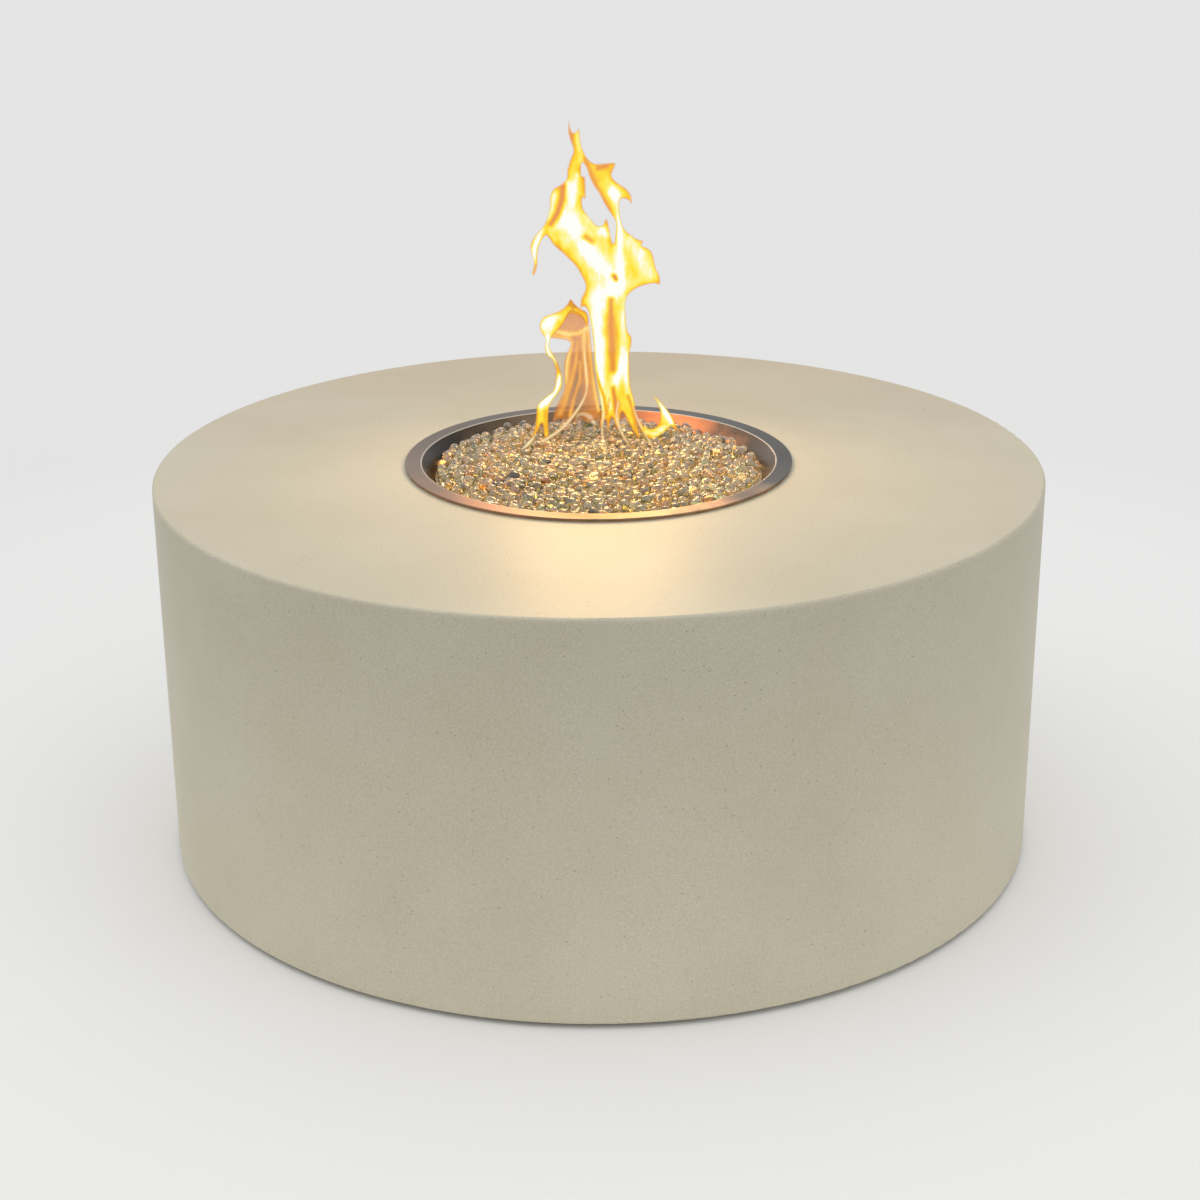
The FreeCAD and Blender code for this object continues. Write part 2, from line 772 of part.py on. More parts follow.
def key_valve():
    """Ball valve behind the wall, with its stem and sleeve through the wall."""
    centre = inner_radius - valve_behind_wall
    z = valve_height
    half = valve_barrel_half
    sleeve_end = seat_radius + sleeve_proud
    bore_end = sleeve_end - sleeve_bore_depth
    chamber_half = half - adapter_depth
    hexes = [
        moved(hexagon_z(valve_hex_flats, half - valve_hex_length, half, centre), 0, 0, z),
        moved(hexagon_z(valve_hex_flats, -half, valve_hex_length - half, centre), 0, 0, z),
    ]
    body = rod_z(valve_barrel_radius, z - half, z + half, centre)
    body = body.fuse(hexes + [rod_x(sleeve_radius, centre, sleeve_end, 0, z)])
    thread = pipe_radius + thread_clearance
    body = body.cut([
        rod_z(chamber_radius, z - chamber_half - 1, z + chamber_half + 1, centre),
        rod_z(thread, z + chamber_half, z + half + 1, centre),
        rod_z(thread, z - half - 1, z - chamber_half, centre),
        rod_x(stem_radius + stem_clearance, centre, bore_end + 1, 0, z),
        rod_x(sleeve_bore_radius, bore_end, sleeve_end + 1, 0, z),
    ])
    save("valve_body", turn(body, valve_azimuth))

    hollow = Part.makeSphere(ball_radius + stem_clearance, V(centre, 0, z))
    seat_start = math.sqrt(ball_radius ** 2 - seat_bore_radius ** 2) - seat_overlap
    seats = []
    for side in (-1, 1):
        low, high = sorted((z + side * seat_start, z + side * (chamber_half - seat_gap)))
        seat = ring_z(chamber_radius - seat_gap, seat_bore_radius, low, high, centre)
        seats.append(turn(seat.cut(hollow), valve_azimuth))
    save("valve_seats", *[solid for seat in seats for solid in seat.Solids])

    slot_floor = ball_bore_radius + ball_slot_web
    slot_half = stem_tang_half + stem_clearance
    far = centre + ball_radius + 1
    slot = block(centre + slot_floor, far, -slot_half, slot_half, z - ball_radius, z + ball_radius)
    bore = rod_z(ball_bore_radius, z - ball_radius - 1, z + ball_radius + 1, centre)
    ball = Part.makeSphere(ball_radius, V(centre, 0, z)).cut([bore, slot])
    save("valve_ball", turn(ball, valve_azimuth))

    square_start = bore_end + packing_thickness + packing_nut_height + stem_lip
    square_end = square_start + stem_square_length
    tang_start = centre + slot_floor + seat_gap
    stem = rod_x(stem_radius, centre + ball_radius + seat_gap, square_start, 0, z)
    tang_reach = stem_radius * 0.8
    tang = block(tang_start, far, -stem_tang_half, stem_tang_half, z - tang_reach, z + tang_reach)
    side = stem_square / 2
    square = block(square_start - 1, square_end, -side, side, z - side, z + side)
    save("valve_stem", turn(stem.fuse([tang, square]), valve_azimuth))

    packing_start = bore_end + seat_gap
    packing_end = packing_start + packing_thickness
    stem_bore = stem_radius + stem_clearance
    packing = ring_x(sleeve_bore_radius - seat_gap, stem_bore, packing_start, packing_end, z)
    save("valve_packing", turn(packing, valve_azimuth))
    nut_start = packing_end + seat_gap
    nut_end = nut_start + packing_nut_height
    gland = ring_x(sleeve_bore_radius - thread_clearance, stem_bore + stem_clearance, nut_start, nut_end, z)
    save("packing_nut", turn(gland, valve_azimuth))

    reach = valve_locknut_flats / math.sqrt(3)
    nut_face = math.sqrt(inner_radius ** 2 - reach ** 2) - seat_gap / 2
    locknut = hexagon_x(valve_locknut_flats, nut_face - locknut_height, nut_face, z)
    locknut = locknut.cut(rod_x(sleeve_radius + thread_clearance, centre, sleeve_end, 0, z))
    save("valve_locknut", turn(locknut, valve_azimuth))

    bore = sleeve_radius + seat_gap
    rim = escutcheon_height / 5
    boss = bore + escutcheon_boss_wall
    escutcheon = spun_x([
        (bore, 0),
        (escutcheon_radius, 0),
        (escutcheon_radius, rim, rim / 2),
        (boss + rim, escutcheon_height - rim, 2 * rim),
        (boss, escutcheon_height, rim / 2),
        (bore, escutcheon_height),
    ], seat_radius + seat_gap)
    save("valve_escutcheon", turn(moved(escutcheon, 0, 0, z), valve_azimuth))

    top = moved(valve_adapter(), centre, 0, z + chamber_half)
    bottom = moved(flip(valve_adapter()), centre, 0, z - chamber_half)
    save("valve_adapters", turn(top, valve_azimuth), turn(bottom, valve_azimuth))

    socket_start = square_start + key_clearance
    socket_end = socket_start + stem_square_length + key_socket_web
    reach_end = seat_radius + key_reach
    half_socket = stem_square / 2 + key_clearance
    key = rod_x(key_socket_radius, socket_start, socket_end, 0, z)
    key = key.fuse(rod_x(key_shank_radius, socket_end - 1, reach_end, 0, z))
    low, high = z - half_socket, z + half_socket
    key = key.cut(block(socket_start - 1, square_end + 1, -half_socket, half_socket, low, high))
    bar_half = key_handle_length / 2 - key_handle_radius
    bar = Part.makeCylinder(key_handle_radius, 2 * bar_half, V(reach_end, -bar_half, z), V(0, 1, 0))
    ends = [Part.makeSphere(key_handle_radius, V(reach_end, s * bar_half, z)) for s in (-1, 1)]
    save("valve_key", turn(key.fuse([bar] + ends).removeSplitter(), valve_azimuth))
    nose = chamber_half + adapter_depth + adapter_hex_length + flare_length
    return centre, z + nose, z - nose


def igniter():
    """Battery igniter in the wall, with its sprung button, and the lead's terminal."""
    z = igniter_height
    flange_end = seat_radius + igniter_flange_thickness
    back = seat_radius - igniter_body_length
    ledge = back + igniter_end + battery_length + battery_nub_length + battery_clearance
    mouth = flange_end - igniter_lip
    shoulder_start = mouth - seat_gap - button_shoulder
    shoulder_bore = button_shoulder_radius + button_clearance
    housing = spun_x([
        (0, 0),
        (igniter_body_radius, 0, 1),
        (igniter_body_radius, seat_radius - back + seat_gap),
        (igniter_flange_radius, seat_radius - back + seat_gap),
        (igniter_flange_radius, flange_end - back, 1.2),
        (button_radius + button_clearance, flange_end - back),
        (button_radius + button_clearance, mouth - back),
        (shoulder_bore, mouth - back),
        (shoulder_bore, ledge - back),
        (battery_radius + battery_clearance, ledge - back),
        (battery_radius + battery_clearance, igniter_end),
        (0, igniter_end),
    ], back)
    save("igniter_housing", turn(moved(housing, 0, 0, z), igniter_azimuth))
    battery_start = back + igniter_end + seat_gap
    battery = rod_x(battery_radius, battery_start, battery_start + battery_length, 0, z)
    nub_end = battery_start + battery_length + battery_nub_length
    battery = battery.fuse(rod_x(battery_nub_radius, battery_start + 1, nub_end, 0, z))
    save("igniter_battery", turn(battery, igniter_azimuth))
    button_end = flange_end + button_proud
    button = spun_x([
        (0, 0),
        (button_shoulder_radius, 0),
        (button_shoulder_radius, button_shoulder),
        (button_radius, button_shoulder),
        (button_radius, button_end - shoulder_start - button_dome, button_dome),
        (button_radius * 0.55, button_end - shoulder_start),
        (0, button_end - shoulder_start),
    ], shoulder_start)
    save("igniter_button", turn(moved(button, 0, 0, z), igniter_azimuth))

    spring_radius = shoulder_bore - seat_gap - spring_wire_radius
    rise = shoulder_start - ledge - 2 * spring_wire_radius - 2 * seat_gap
    steps = int(spring_turns * 4)
    turns = [
        V(
            rise * i / steps,
            spring_radius * math.cos(math.pi * i / 2),
            spring_radius * math.sin(math.pi * i / 2),
        )
        for i in range(steps + 1)
    ]
    halves = [
        V(
            rise * (i + 0.5) / steps,
            spring_radius * math.cos(math.pi * (i + 0.5) / 2),
            spring_radius * math.sin(math.pi * (i + 0.5) / 2),
        )
        for i in range(steps)
    ]
    arcs = [Part.Arc(a, m, b).toShape() for a, m, b in zip(turns, halves, turns[1:])]
    spring = swept(Part.Wire(arcs), spring_wire_radius)
    spring = moved(spring, ledge + spring_wire_radius + seat_gap, 0, z)
    save("button_spring", turn(spring, igniter_azimuth))

    reach = igniter_locknut_flats / math.sqrt(3)
    nut_face = math.sqrt(inner_radius ** 2 - reach ** 2) - seat_gap / 2
    nut = hexagon_x(igniter_locknut_flats, nut_face - igniter_locknut_height, nut_face, z)
    nut = nut.cut(rod_x(igniter_body_radius + thread_clearance, back, nut_face + 50, 0, z))
    save("igniter_locknut", turn(nut, igniter_azimuth))
    tab_end = back - seat_gap
    tab = block(
        tab_end - terminal_length, tab_end,
        -terminal_half_width, terminal_half_width,
        z - terminal_thickness / 2, z + terminal_thickness / 2,
    )
    save("igniter_terminal", turn(tab, igniter_azimuth))
    return tab_end - terminal_length - seat_gap


def electrode():
    """Spark electrode beside the inner ring, clamped to the pan's floor."""
    x = electrode_radius_from_centre
    collar_low = floor_top + seat_gap
    collar_high = collar_low + collar_height
    top = floor_top + insulator_top_above_floor
    low = floor_top - insulator_below_floor
    insulator = spun([
        (electrode_radius + thread_clearance, low),
        (insulator_radius, low, 0.8),
        (insulator_radius, collar_low),
        (collar_radius, collar_low, 0.6),
        (collar_radius, collar_high, 0.6),
        (insulator_radius, collar_high),
        (insulator_radius, top, 1.2),
        (electrode_radius + thread_clearance, top),
    ])
    save("electrode_insulator", turn(moved(insulator, x), igniter_azimuth))
    rod = rod_z(electrode_radius, low - electrode_tail, top + electrode_proud, x)
    save("electrode_rod", turn(rod, igniter_azimuth))
    plate_low = collar_high + seat_gap
    plate_high = plate_low + bracket_sheet
    foot_high = collar_low + bracket_sheet
    inner = bracket_leg_half
    outer = inner + bracket_sheet
    w = bracket_half_width
    bracket = block(x - w, x + w, -outer, outer, plate_low, plate_high)
    pieces = []
    for side in (-1, 1):
        leg = sorted((side * inner, side * outer))
        foot = sorted((side * inner, side * bracket_foot_half))
        pieces.append(block(x - w, x + w, leg[0], leg[1], collar_low, plate_high))
        pieces.append(block(x - w, x + w, foot[0], foot[1], collar_low, foot_high))
    bracket = bracket.fuse(pieces)
    holes = [rod_z(insulator_radius + seat_gap, low, top, x)]
    screws = []
    nuts = []
    for side in (-1, 1):
        y = side * bracket_screw_half
        holes.append(rod_z(bracket_screw_radius + seat_gap, low, plate_low, x, y))
        head_low = foot_high + seat_gap
        nut_high = floor_bottom - seat_gap
        nut_low = nut_high - bracket_nut_height
        screw = rod_z(bracket_screw_head_radius, head_low, head_low + bracket_screw_head, x, y)
        screw = screw.fuse(rod_z(bracket_screw_radius, nut_low - 1, head_low + 1, x, y))
        screws.append(turn(screw, igniter_azimuth))
        nut = moved(hexagon_z(bracket_nut_flats, nut_low, nut_high, x), 0, y)
        nut = nut.cut(rod_z(bracket_screw_radius + thread_clearance, nut_low - 1, nut_high + 1, x, y))
        nuts.append(turn(nut, igniter_azimuth))
    save("electrode_bracket", turn(bracket.cut(holes).removeSplitter(), igniter_azimuth))
    save("bracket_screws", *screws)
    save("bracket_nuts", *nuts)
    return low - electrode_tail - seat_gap


def gas_inlet():
    """Bulkhead fitting through the wall, where the outside gas hose screws on."""
    z = inlet_height
    inside = inner_radius - inlet_body_inside
    nose_in = inside - flare_length
    collar_end = seat_radius + inlet_collar
    nose_out = collar_end + flare_length
    body = spun_x([
        (gas_bore_radius, 0),
        (flare_nose_radius, 0),
        (flare_radius, flare_nose_length),
        (flare_radius, flare_length),
        (inlet_body_radius, flare_length),
        (inlet_body_radius, seat_radius + 1 - nose_in),
        (flare_radius, seat_radius + 1 - nose_in),
        (flare_radius, nose_out - flare_nose_length - nose_in),
        (flare_nose_radius, nose_out - nose_in),
        (gas_bore_radius, nose_out - nose_in),
    ], nose_in)
    collar = hexagon_x(inlet_hex_flats, seat_radius + seat_gap, collar_end)
    body = body.fuse(collar.cut(rod_x(gas_bore_radius, nose_in, nose_out)))
    save("inlet_bulkhead", turn(moved(body.removeSplitter(), 0, 0, z), inlet_azimuth))
    reach = inlet_hex_flats / math.sqrt(3)
    nut_face = math.sqrt(inner_radius ** 2 - reach ** 2) - seat_gap / 2
    nut = hexagon_x(inlet_hex_flats, nut_face - inlet_locknut_height, nut_face, z)
    nut = nut.cut(rod_x(inlet_body_radius + thread_clearance, inside, table_radius, 0, z))
    save("inlet_locknut", turn(nut, inlet_azimuth))
    print("gas inlet thread", seat_radius + inlet_collar, nose_out - flare_nose_length)
    return nose_in


def gas_hoses(valve_centre, valve_top, valve_bottom, inlet_nose, jet_nose):
    start = inlet_nose - seat_gap
    supply = [
        point_at(start, inlet_azimuth, inlet_height),
        point_at(start - hose_end_run, inlet_azimuth, inlet_height),
    ]
    for share, inset, drop in supply_stations:
        azimuth = inlet_azimuth + (valve_azimuth - inlet_azimuth) * share
        supply.append(point_at(inner_radius - inset, azimuth, inlet_height - drop))
    supply.append(point_at(valve_centre, valve_azimuth, valve_bottom - hose_end_run))
    supply.append(point_at(valve_centre, valve_azimuth, valve_bottom - seat_gap))
    save("supply_hose", hose(supply, hose_radius, hose_bore_radius))
    up = jet_nose.z
    bend_start = valve_top + burner_hose_rise
    bend_end = up - burner_hose_end_run
    feed = [
        point_at(valve_centre, valve_azimuth, valve_top + seat_gap),
        point_at(valve_centre, valve_azimuth, bend_start),
    ]
    for share, rise in burner_hose_stations:
        height = bend_end + (bend_start - bend_end) * share + rise
        feed.append(point_at(valve_centre * share, valve_azimuth, height))
    feed.append(V(0, 0, bend_end))
    feed.append(V(0, 0, up - seat_gap))
    save("burner_hose", hose(feed, hose_radius, hose_bore_radius))
    nut = flare_nut()
    down = flip(nut)
    at_inlet = moved(turn(lay_down(nut), 180), inlet_nose, 0, inlet_height)
    nuts = [
        turn(at_inlet, inlet_azimuth),
        turn(moved(down, valve_centre, 0, valve_bottom), valve_azimuth),
        turn(moved(nut, valve_centre, 0, valve_top), valve_azimuth),
        moved(down, 0, 0, up),
    ]
    save("hose_nuts", *nuts)


def spark_lead(start, end_z):
    far = start - lead_end_run
    near = electrode_radius_from_centre + lead_bend_out
    bend_end = end_z - lead_bend_drop
    route = [(start, igniter_height), (far, igniter_height)]
    for share, rise in lead_stations:
        height = igniter_height + (bend_end - igniter_height) * share + rise
        route.append((far + (near - far) * share, height))
    route.append((near, bend_end))
    route.append((electrode_radius_from_centre, end_z - lead_rise))
    route.append((electrode_radius_from_centre, end_z))
    points = [point_at(radius, igniter_azimuth, height) for radius, height in route]
    save("spark_lead", hose(points, lead_radius, 0))


def access_door():
    """Frame lining the opening in the wall, and the curved door that shuts flush in it."""
    low = door_bottom
    high = door_bottom + door_height
    half = door_width / 2
    near = inner_radius - cut_reach
    far = table_radius + cut_reach

    def opening(inset, start=near, end=far):
        corner = max(door_corner_radius - inset, 1.0)
        return window(half - inset, low + inset, high - inset, start, end, corner)

    outside = opening(frame_fit)
    inside = opening(frame_fit + frame_sheet)
    stop_start = table_radius - frame_depth
    sleeve = opening(frame_fit, stop_start).cut(inside).common(rod_z(skin_outer, low - 50, high + 50))
    stop = opening(frame_fit, stop_start, stop_start + frame_sheet)
    stop = stop.cut(opening(frame_fit + frame_sheet + frame_stop))
    flange = skin(skin_inner, skin_outer, low - 50, high + 50)
    flange = flange.common(opening(frame_fit - frame_flange)).cut(inside)
    frame = sleeve.fuse([stop, flange])
    screw_holes = [
        turn(rod_x(screw_radius + seat_gap, near, far, 0, z), angle)
        for angle, z in frame_screw_places()
    ]
    save("door_frame", turn(frame.cut(screw_holes).removeSplitter(), door_azimuth))

    door_inset = frame_fit + frame_sheet + door_gap
    face_inner = skin_outer - door_sheet
    edge = opening(door_inset).cut(opening(door_inset + door_sheet))
    face = skin(face_inner, skin_outer, low, high).common(opening(door_inset))
    returns = skin(skin_outer - door_return, skin_outer, low, high).common(edge)
    door = face.fuse(returns)

    hinge_offset = half - frame_fit - frame_sheet - door_gap / 2
    hinge_angle = math.degrees(math.asin(hinge_offset / skin_outer))
    rivet_places = []
    for height in hinge_heights:
        for offset in rivet_offsets:
            angle = hinge_angle - math.degrees(math.asin(offset / skin_outer))
            for side in (-1, 1):
                rivet_places.append((angle, height + side * rivet_half_height))
    middle = low + door_height / 2
    pull_angle = -math.degrees(math.asin(pull_offset / skin_outer))
    holes = [turn(rod_x(rivet_radius + thread_clearance, near, far, 0, z), a) for a, z in rivet_places]
    holes.append(turn(rod_x(pull_screw_radius + seat_gap, near, far, 0, middle), pull_angle))
    save("door_panel", turn(door.cut(holes).removeSplitter(), door_azimuth))

    door_leaves, frame_leaves, pins = [], [], []
    leaf_low = skin_outer + leaf_gap
    leaf_high = leaf_low + leaf_sheet
    axis = skin_outer + barrel_off_face
    bore = rod_z(hinge_pin_radius + hinge_pin_clearance, -100, 1000, axis)
    for height in hinge_heights:
        bottom = height - hinge_length / 2
        top = height + hinge_length / 2
        k_low = height - door_knuckle / 2
        k_high = height + door_knuckle / 2
        sheet = skin(leaf_low, leaf_high, bottom, top)
        door_leaf = sheet.common(block(near, far, -door_leaf_end, -leaf_start, bottom, top))
        door_web = skin(leaf_low, leaf_high, k_low, k_high).common(
            block(near, far, -leaf_start - 1, 0, k_low, k_high)
        )
        door_leaf = door_leaf.fuse([door_web, rod_z(barrel_radius, k_low, k_high, axis)]).cut(bore)
        frame_leaf = sheet.common(block(near, far, leaf_start, frame_leaf_end, bottom, top))
        parts = []
        for start, end in ((bottom, k_low - knuckle_gap), (k_high + knuckle_gap, top)):
            strip = block(near, far, 0, leaf_start + 1, start, end)
            web = skin(leaf_low, leaf_high, start, end).common(strip)
            parts += [web, rod_z(barrel_radius, start, end, axis)]
        frame_leaf = frame_leaf.fuse(parts).cut(bore)
        door_leaves.append(door_leaf)
        frame_leaves.append(frame_leaf)
        head_low = top + seat_gap
        pin = rod_z(hinge_pin_radius, bottom - 1, head_low + hinge_pin_head / 2, axis)
        head = rod_z(hinge_pin_radius + 1, head_low, head_low + hinge_pin_head, axis)
        pins.append(pin.fuse(head))
    rivets = []
    head_start = leaf_high + seat_gap
    tail_end = face_inner - seat_gap
    for angle, z in rivet_places:
        rivet = rod_x(rivet_radius, tail_end - rivet_tail / 2, head_start + rivet_head / 2, 0, z)
        rivet = rivet.fuse([
            rod_x(rivet_head_radius, head_start, head_start + rivet_head, 0, z),
            rod_x(rivet_tail_radius, tail_end - rivet_tail, tail_end, 0, z),
        ])
        rivets.append(turn(rivet, door_azimuth + angle))
    spin = door_azimuth + hinge_angle
    leaf_holes = [turn(hole, -hinge_angle) for hole in holes[:-1]]
    save("hinge_leaves_door", *[turn(leaf.cut(leaf_holes), spin) for leaf in door_leaves])
    save("hinge_leaves_frame", *[turn(leaf, spin) for leaf in frame_leaves])
    save("hinge_pins", *[turn(pin, spin) for pin in pins])
    save("door_rivets", *rivets)
    hinge_place = point_at(axis, spin, 0)
    print("door hinge axis", round(hinge_place.x, 3), round(hinge_place.y, 3))

    catch_angle = -math.degrees(math.asin(catch_offset / face_inner))
    w = catch_half_width
    h = catch_half_height
    striker_face = math.sqrt(face_inner ** 2 - (w - 1) ** 2) - seat_gap
    magnet_face = striker_face - striker_thickness - striker_gap
    body = block(stop_start, magnet_face - seat_gap, -w, w, middle - h, middle + h)
    body = turn(body, catch_angle)
    behind = block(near - 50, stop_start + frame_sheet + seat_gap / 2, -half, half, low, high)
    body = body.cut(behind)
    pocket = block(
        magnet_face - magnet_depth - seat_gap, magnet_face + 1,
        -magnet_half_width - seat_gap, magnet_half_width + seat_gap,
        middle - magnet_half_height - seat_gap, middle + magnet_half_height + seat_gap,
    )
    body = body.cut(turn(pocket, catch_angle))
    save("catch_body", turn(body, door_azimuth))
    magnet = block(
        magnet_face - magnet_depth, magnet_face,
        -magnet_half_width, magnet_half_width,
        middle - magnet_half_height, middle + magnet_half_height,
    )
    save("catch_magnet", turn(magnet, door_azimuth + catch_angle))
    plate = block(
        striker_face - striker_thickness, striker_face,
        1 - w, w - 1,
        middle - h + 2, middle + h - 2,
    )
    save("catch_striker", turn(plate, door_azimuth + catch_angle))

    base = skin_outer + seat_gap
    pull = spun_x([
        (pull_screw_radius + thread_clearance, 0),
        (pull_neck_radius, 0),
        (pull_neck_radius, pull_length * 0.4, 2),
        (pull_head_radius, pull_length * 0.62, 1.5),
        (pull_head_radius, pull_length, 2),
        (0, pull_length),
        (0, pull_length * 0.6),
        (pull_screw_radius + thread_clearance, pull_length * 0.6),
    ], base)
    save("door_pull", turn(moved(pull, 0, 0, middle), door_azimuth + pull_angle))
    head_end = face_inner - seat_gap
    screw = rod_x(pull_screw_radius * 2, head_end - 2, head_end, 0, middle)
    screw = screw.fuse(rod_x(pull_screw_radius, head_end - 1, base + pull_length / 2, 0, middle))
    save("pull_screw", turn(screw, door_azimuth + pull_angle))


def vents():
    low = vent_bottom
    high = vent_bottom + vent_height
    near = inner_radius - cut_reach
    far = table_radius + cut_reach
    outer = skin_inner + vent_sheet
    window_out = window(
        vent_half_width + vent_flange, low - vent_flange, high + vent_flange,
        near, far, vent_corner_radius + vent_flange / 2,
    )
    plate = skin(skin_inner, outer, low - 30, high + 30).common(window_out)
    middle = low + vent_height / 2
    slots, hoods = [], []
    for i in range(slot_count):
        z = middle + (i - (slot_count - 1) / 2) * slot_pitch
        top = z + slot_height / 2
        slots.append(window(slot_half_length, z - slot_height / 2, top, near, far, slot_height / 3))
        lip = skin(outer - seat_gap, outer + hood_proud, top, top + hood_height)
        strip = block(near, far, -slot_half_length, slot_half_length, top, top + hood_height)
        hoods.append(lip.common(strip))
    holes = [turn(rod_x(screw_radius + seat_gap, near, far, 0, z), a) for a, z in vent_screw_places()]
    grille = plate.fuse(hoods).cut(slots + holes).removeSplitter()
    for name, azimuth in zip(vent_names, vent_azimuths):
        save(name, turn(grille, azimuth))


def wall_screws():
    screws, plugs = [], []
    face = skin_outer + seat_gap
    for azimuth, z in wall_screw_places():
        screw = rod_x(screw_radius, face - screw_length, face + screw_head / 2, 0, z)
        head = spun_x([
            (0, 0),
            (screw_head_radius, 0),
            (screw_head_radius, screw_head * 0.5),
            (screw_head_radius * 0.75, screw_head),
            (0, screw_head),
        ], face)
        screws.append(turn(screw.fuse(moved(head, 0, 0, z)), azimuth))
        plug_end = table_radius - seat_gap
        plug = ring_x(plug_radius, screw_radius + thread_clearance, plug_end - plug_length, plug_end, z)
        plugs.append(turn(plug, azimuth))
    save("wall_screws", *screws)
    save("wall_plugs", *plugs)


def bed_sphere():
    """Radius of the ball that the heaped bed's top is part of, and the height of its centre."""
    brim_z = lip_top - bed_below_lip
    brim = pan_inner_radius(brim_z) - pan_wall_across(bed_clearance)
    ball = (brim ** 2 + bed_rise ** 2) / (2 * bed_rise)
    return ball, brim_z + bed_rise - ball


def bed_height(radius):
    ball, centre_z = bed_sphere()
    return centre_z + math.sqrt(ball ** 2 - radius ** 2)


def glass_bed():
    edge_z = lip_top - bed_below_lip
    shift = pan_wall_across(bed_clearance)
    base_z = floor_top + bed_clearance
    edge = pan_inner_radius(edge_z) - shift
    base = pan_inner_radius(base_z) - shift
    foot = V(0, 0, base_z)
    corner = V(base, 0, base_z)
    brim = V(edge, 0, edge_z)
    crown = V(0, 0, bed_height(0))
    middle = V(edge / 2, 0, bed_height(edge / 2))
    outline = Part.Wire([
        Part.LineSegment(foot, corner).toShape(),
        Part.LineSegment(corner, brim).toShape(),
        Part.Arc(brim, middle, crown).toShape(),
        Part.LineSegment(crown, foot).toShape(),
    ])
    bed = Part.Face(outline).revolve(V(0, 0, 0), V(0, 0, 1), 360)
    c = bed_clearance
    low = floor_top - 1
    hub_high = floor_top + hub_above_floor + hub_height + c
    tools = [rod_z(max(hub_radius, pipe_nut_flats / math.sqrt(3)) + c, low, hub_high)]
    tube = burner_tube_radius + c
    for radius in (inner_ring_radius, outer_ring_radius):
        tools.append(ring_z(radius + tube, radius - tube, burner_z - tube, burner_z + tube))
    half = spoke_radius + c
    spoke = block(0, outer_ring_radius, -half, half, burner_z - half, burner_z + half)
    tools += [turn(spoke, 360 * i / spoke_count) for i in range(spoke_count)]
    x = electrode_radius_from_centre
    w = bracket_half_width + c
    bracket_top = floor_top + 2 * seat_gap + collar_height + bracket_sheet + c
    insulator_top = floor_top + insulator_top_above_floor
    tools += [
        turn(tool, igniter_azimuth)
        for tool in (
            block(x - w, x + w, -bracket_foot_half - c, bracket_foot_half + c, low, bracket_top),
            rod_z(insulator_radius + c, low, insulator_top + c, x),
            rod_z(electrode_radius + c, low, insulator_top + electrode_proud + c, x),
        )
    ]
    bed = bed.cut(tools)
    save("glass_bed", max(bed.Solids, key=lambda solid: solid.Volume))


def flame_tongues():
    """Each tongue's depth place, and its stations: side place, height over the root, half width."""
    trunk = [
        (20, 0, 13), (14, 29, 26), (10, 64, 31), (9, 93, 31), (11, 128, 33), (7, 153, 30),
        (9, 181, 28), (30, 201, 46), (25, 223, 48), (17, 244, 48), (11, 267, 34), (17, 289, 13),
        (23, 307, 17), (12, 335, 21), (2, 348, 15), (0, 364, 17), (-20, 386, 2),
    ]
    left_branch = [
        (2, 0, 12), (2, 72, 20), (5, 145, 23), (-1, 190, 23), (-8, 214, 21), (-31, 237, 33),
        (-41, 256, 38), (-39, 283, 32), (-41, 303, 22), (-40, 320, 20), (-33, 339, 10),
        (-31, 359, 9), (-27, 376, 6), (-35, 396, 5), (-37, 415, 2),
    ]
    left_tongue = [
        (-79, 0, 8), (-71, 32, 10), (-50, 62, 11), (-42, 91, 14), (-49, 118, 23),
        (-54, 140, 22), (-42, 160, 11), (-35, 178, 2),
    ]
    right_tongue = [(97, 0, 6), (86, 21, 9), (80, 36, 7), (68, 54, 2)]
    return [(100, trunk), (130, left_branch), (120, left_tongue), (135, right_tongue)]


def eased(stations, share):
    """Smooth path through all the stations, at a share of the way from the first to the last."""
    place = share * (len(stations) - 1)
    i = min(int(place), len(stations) - 2)
    t = place - i
    before, here, there, after = (stations[min(max(i + k, 0), len(stations) - 1)] for k in (-1, 0, 1, 2))
    values = []
    for a, b, c, d in zip(before, here, there, after):
        values.append(b + t * (c - a + t * (2 * a - 5 * b + 4 * c - d + t * (3 * b - 3 * c + d - a))) / 2)
    return values


def flame():
    tongues = []
    for y, stations in flame_tongues():
        x, _, half = stations[0]
        nearest = math.hypot(max(abs(x) - half, 0), y - min(flame_depth, half * flame_flatness))
        base = bed_height(nearest) + bed_clearance
        count = flame_sections_per_station * (len(stations) - 1)
        outlines = []
        for i in range(count + 1):
            x, rise, half = eased(stations, i / count)
            depth = min(flame_depth, half * flame_flatness)
            ellipse = Part.Ellipse(V(x, y, base + rise), half, depth)
            outlines.append(Part.Wire(ellipse.toShape()))
        tongues.append(Part.makeLoft(outlines, True, True))
    save("flame", *tongues)
    print("flame top", round(max(t.BoundBox.ZMax for t in tongues), 1))


def drop_cap_radius():
    """Radius of a drop's flat caps, which run smoothly into its rounder edge."""
    thick = drop_radius * drop_flatness
    middle = drop_radius - drop_edge_radius
    return (middle ** 2 + thick ** 2 - drop_edge_radius ** 2) / (2 * (thick - drop_edge_radius))


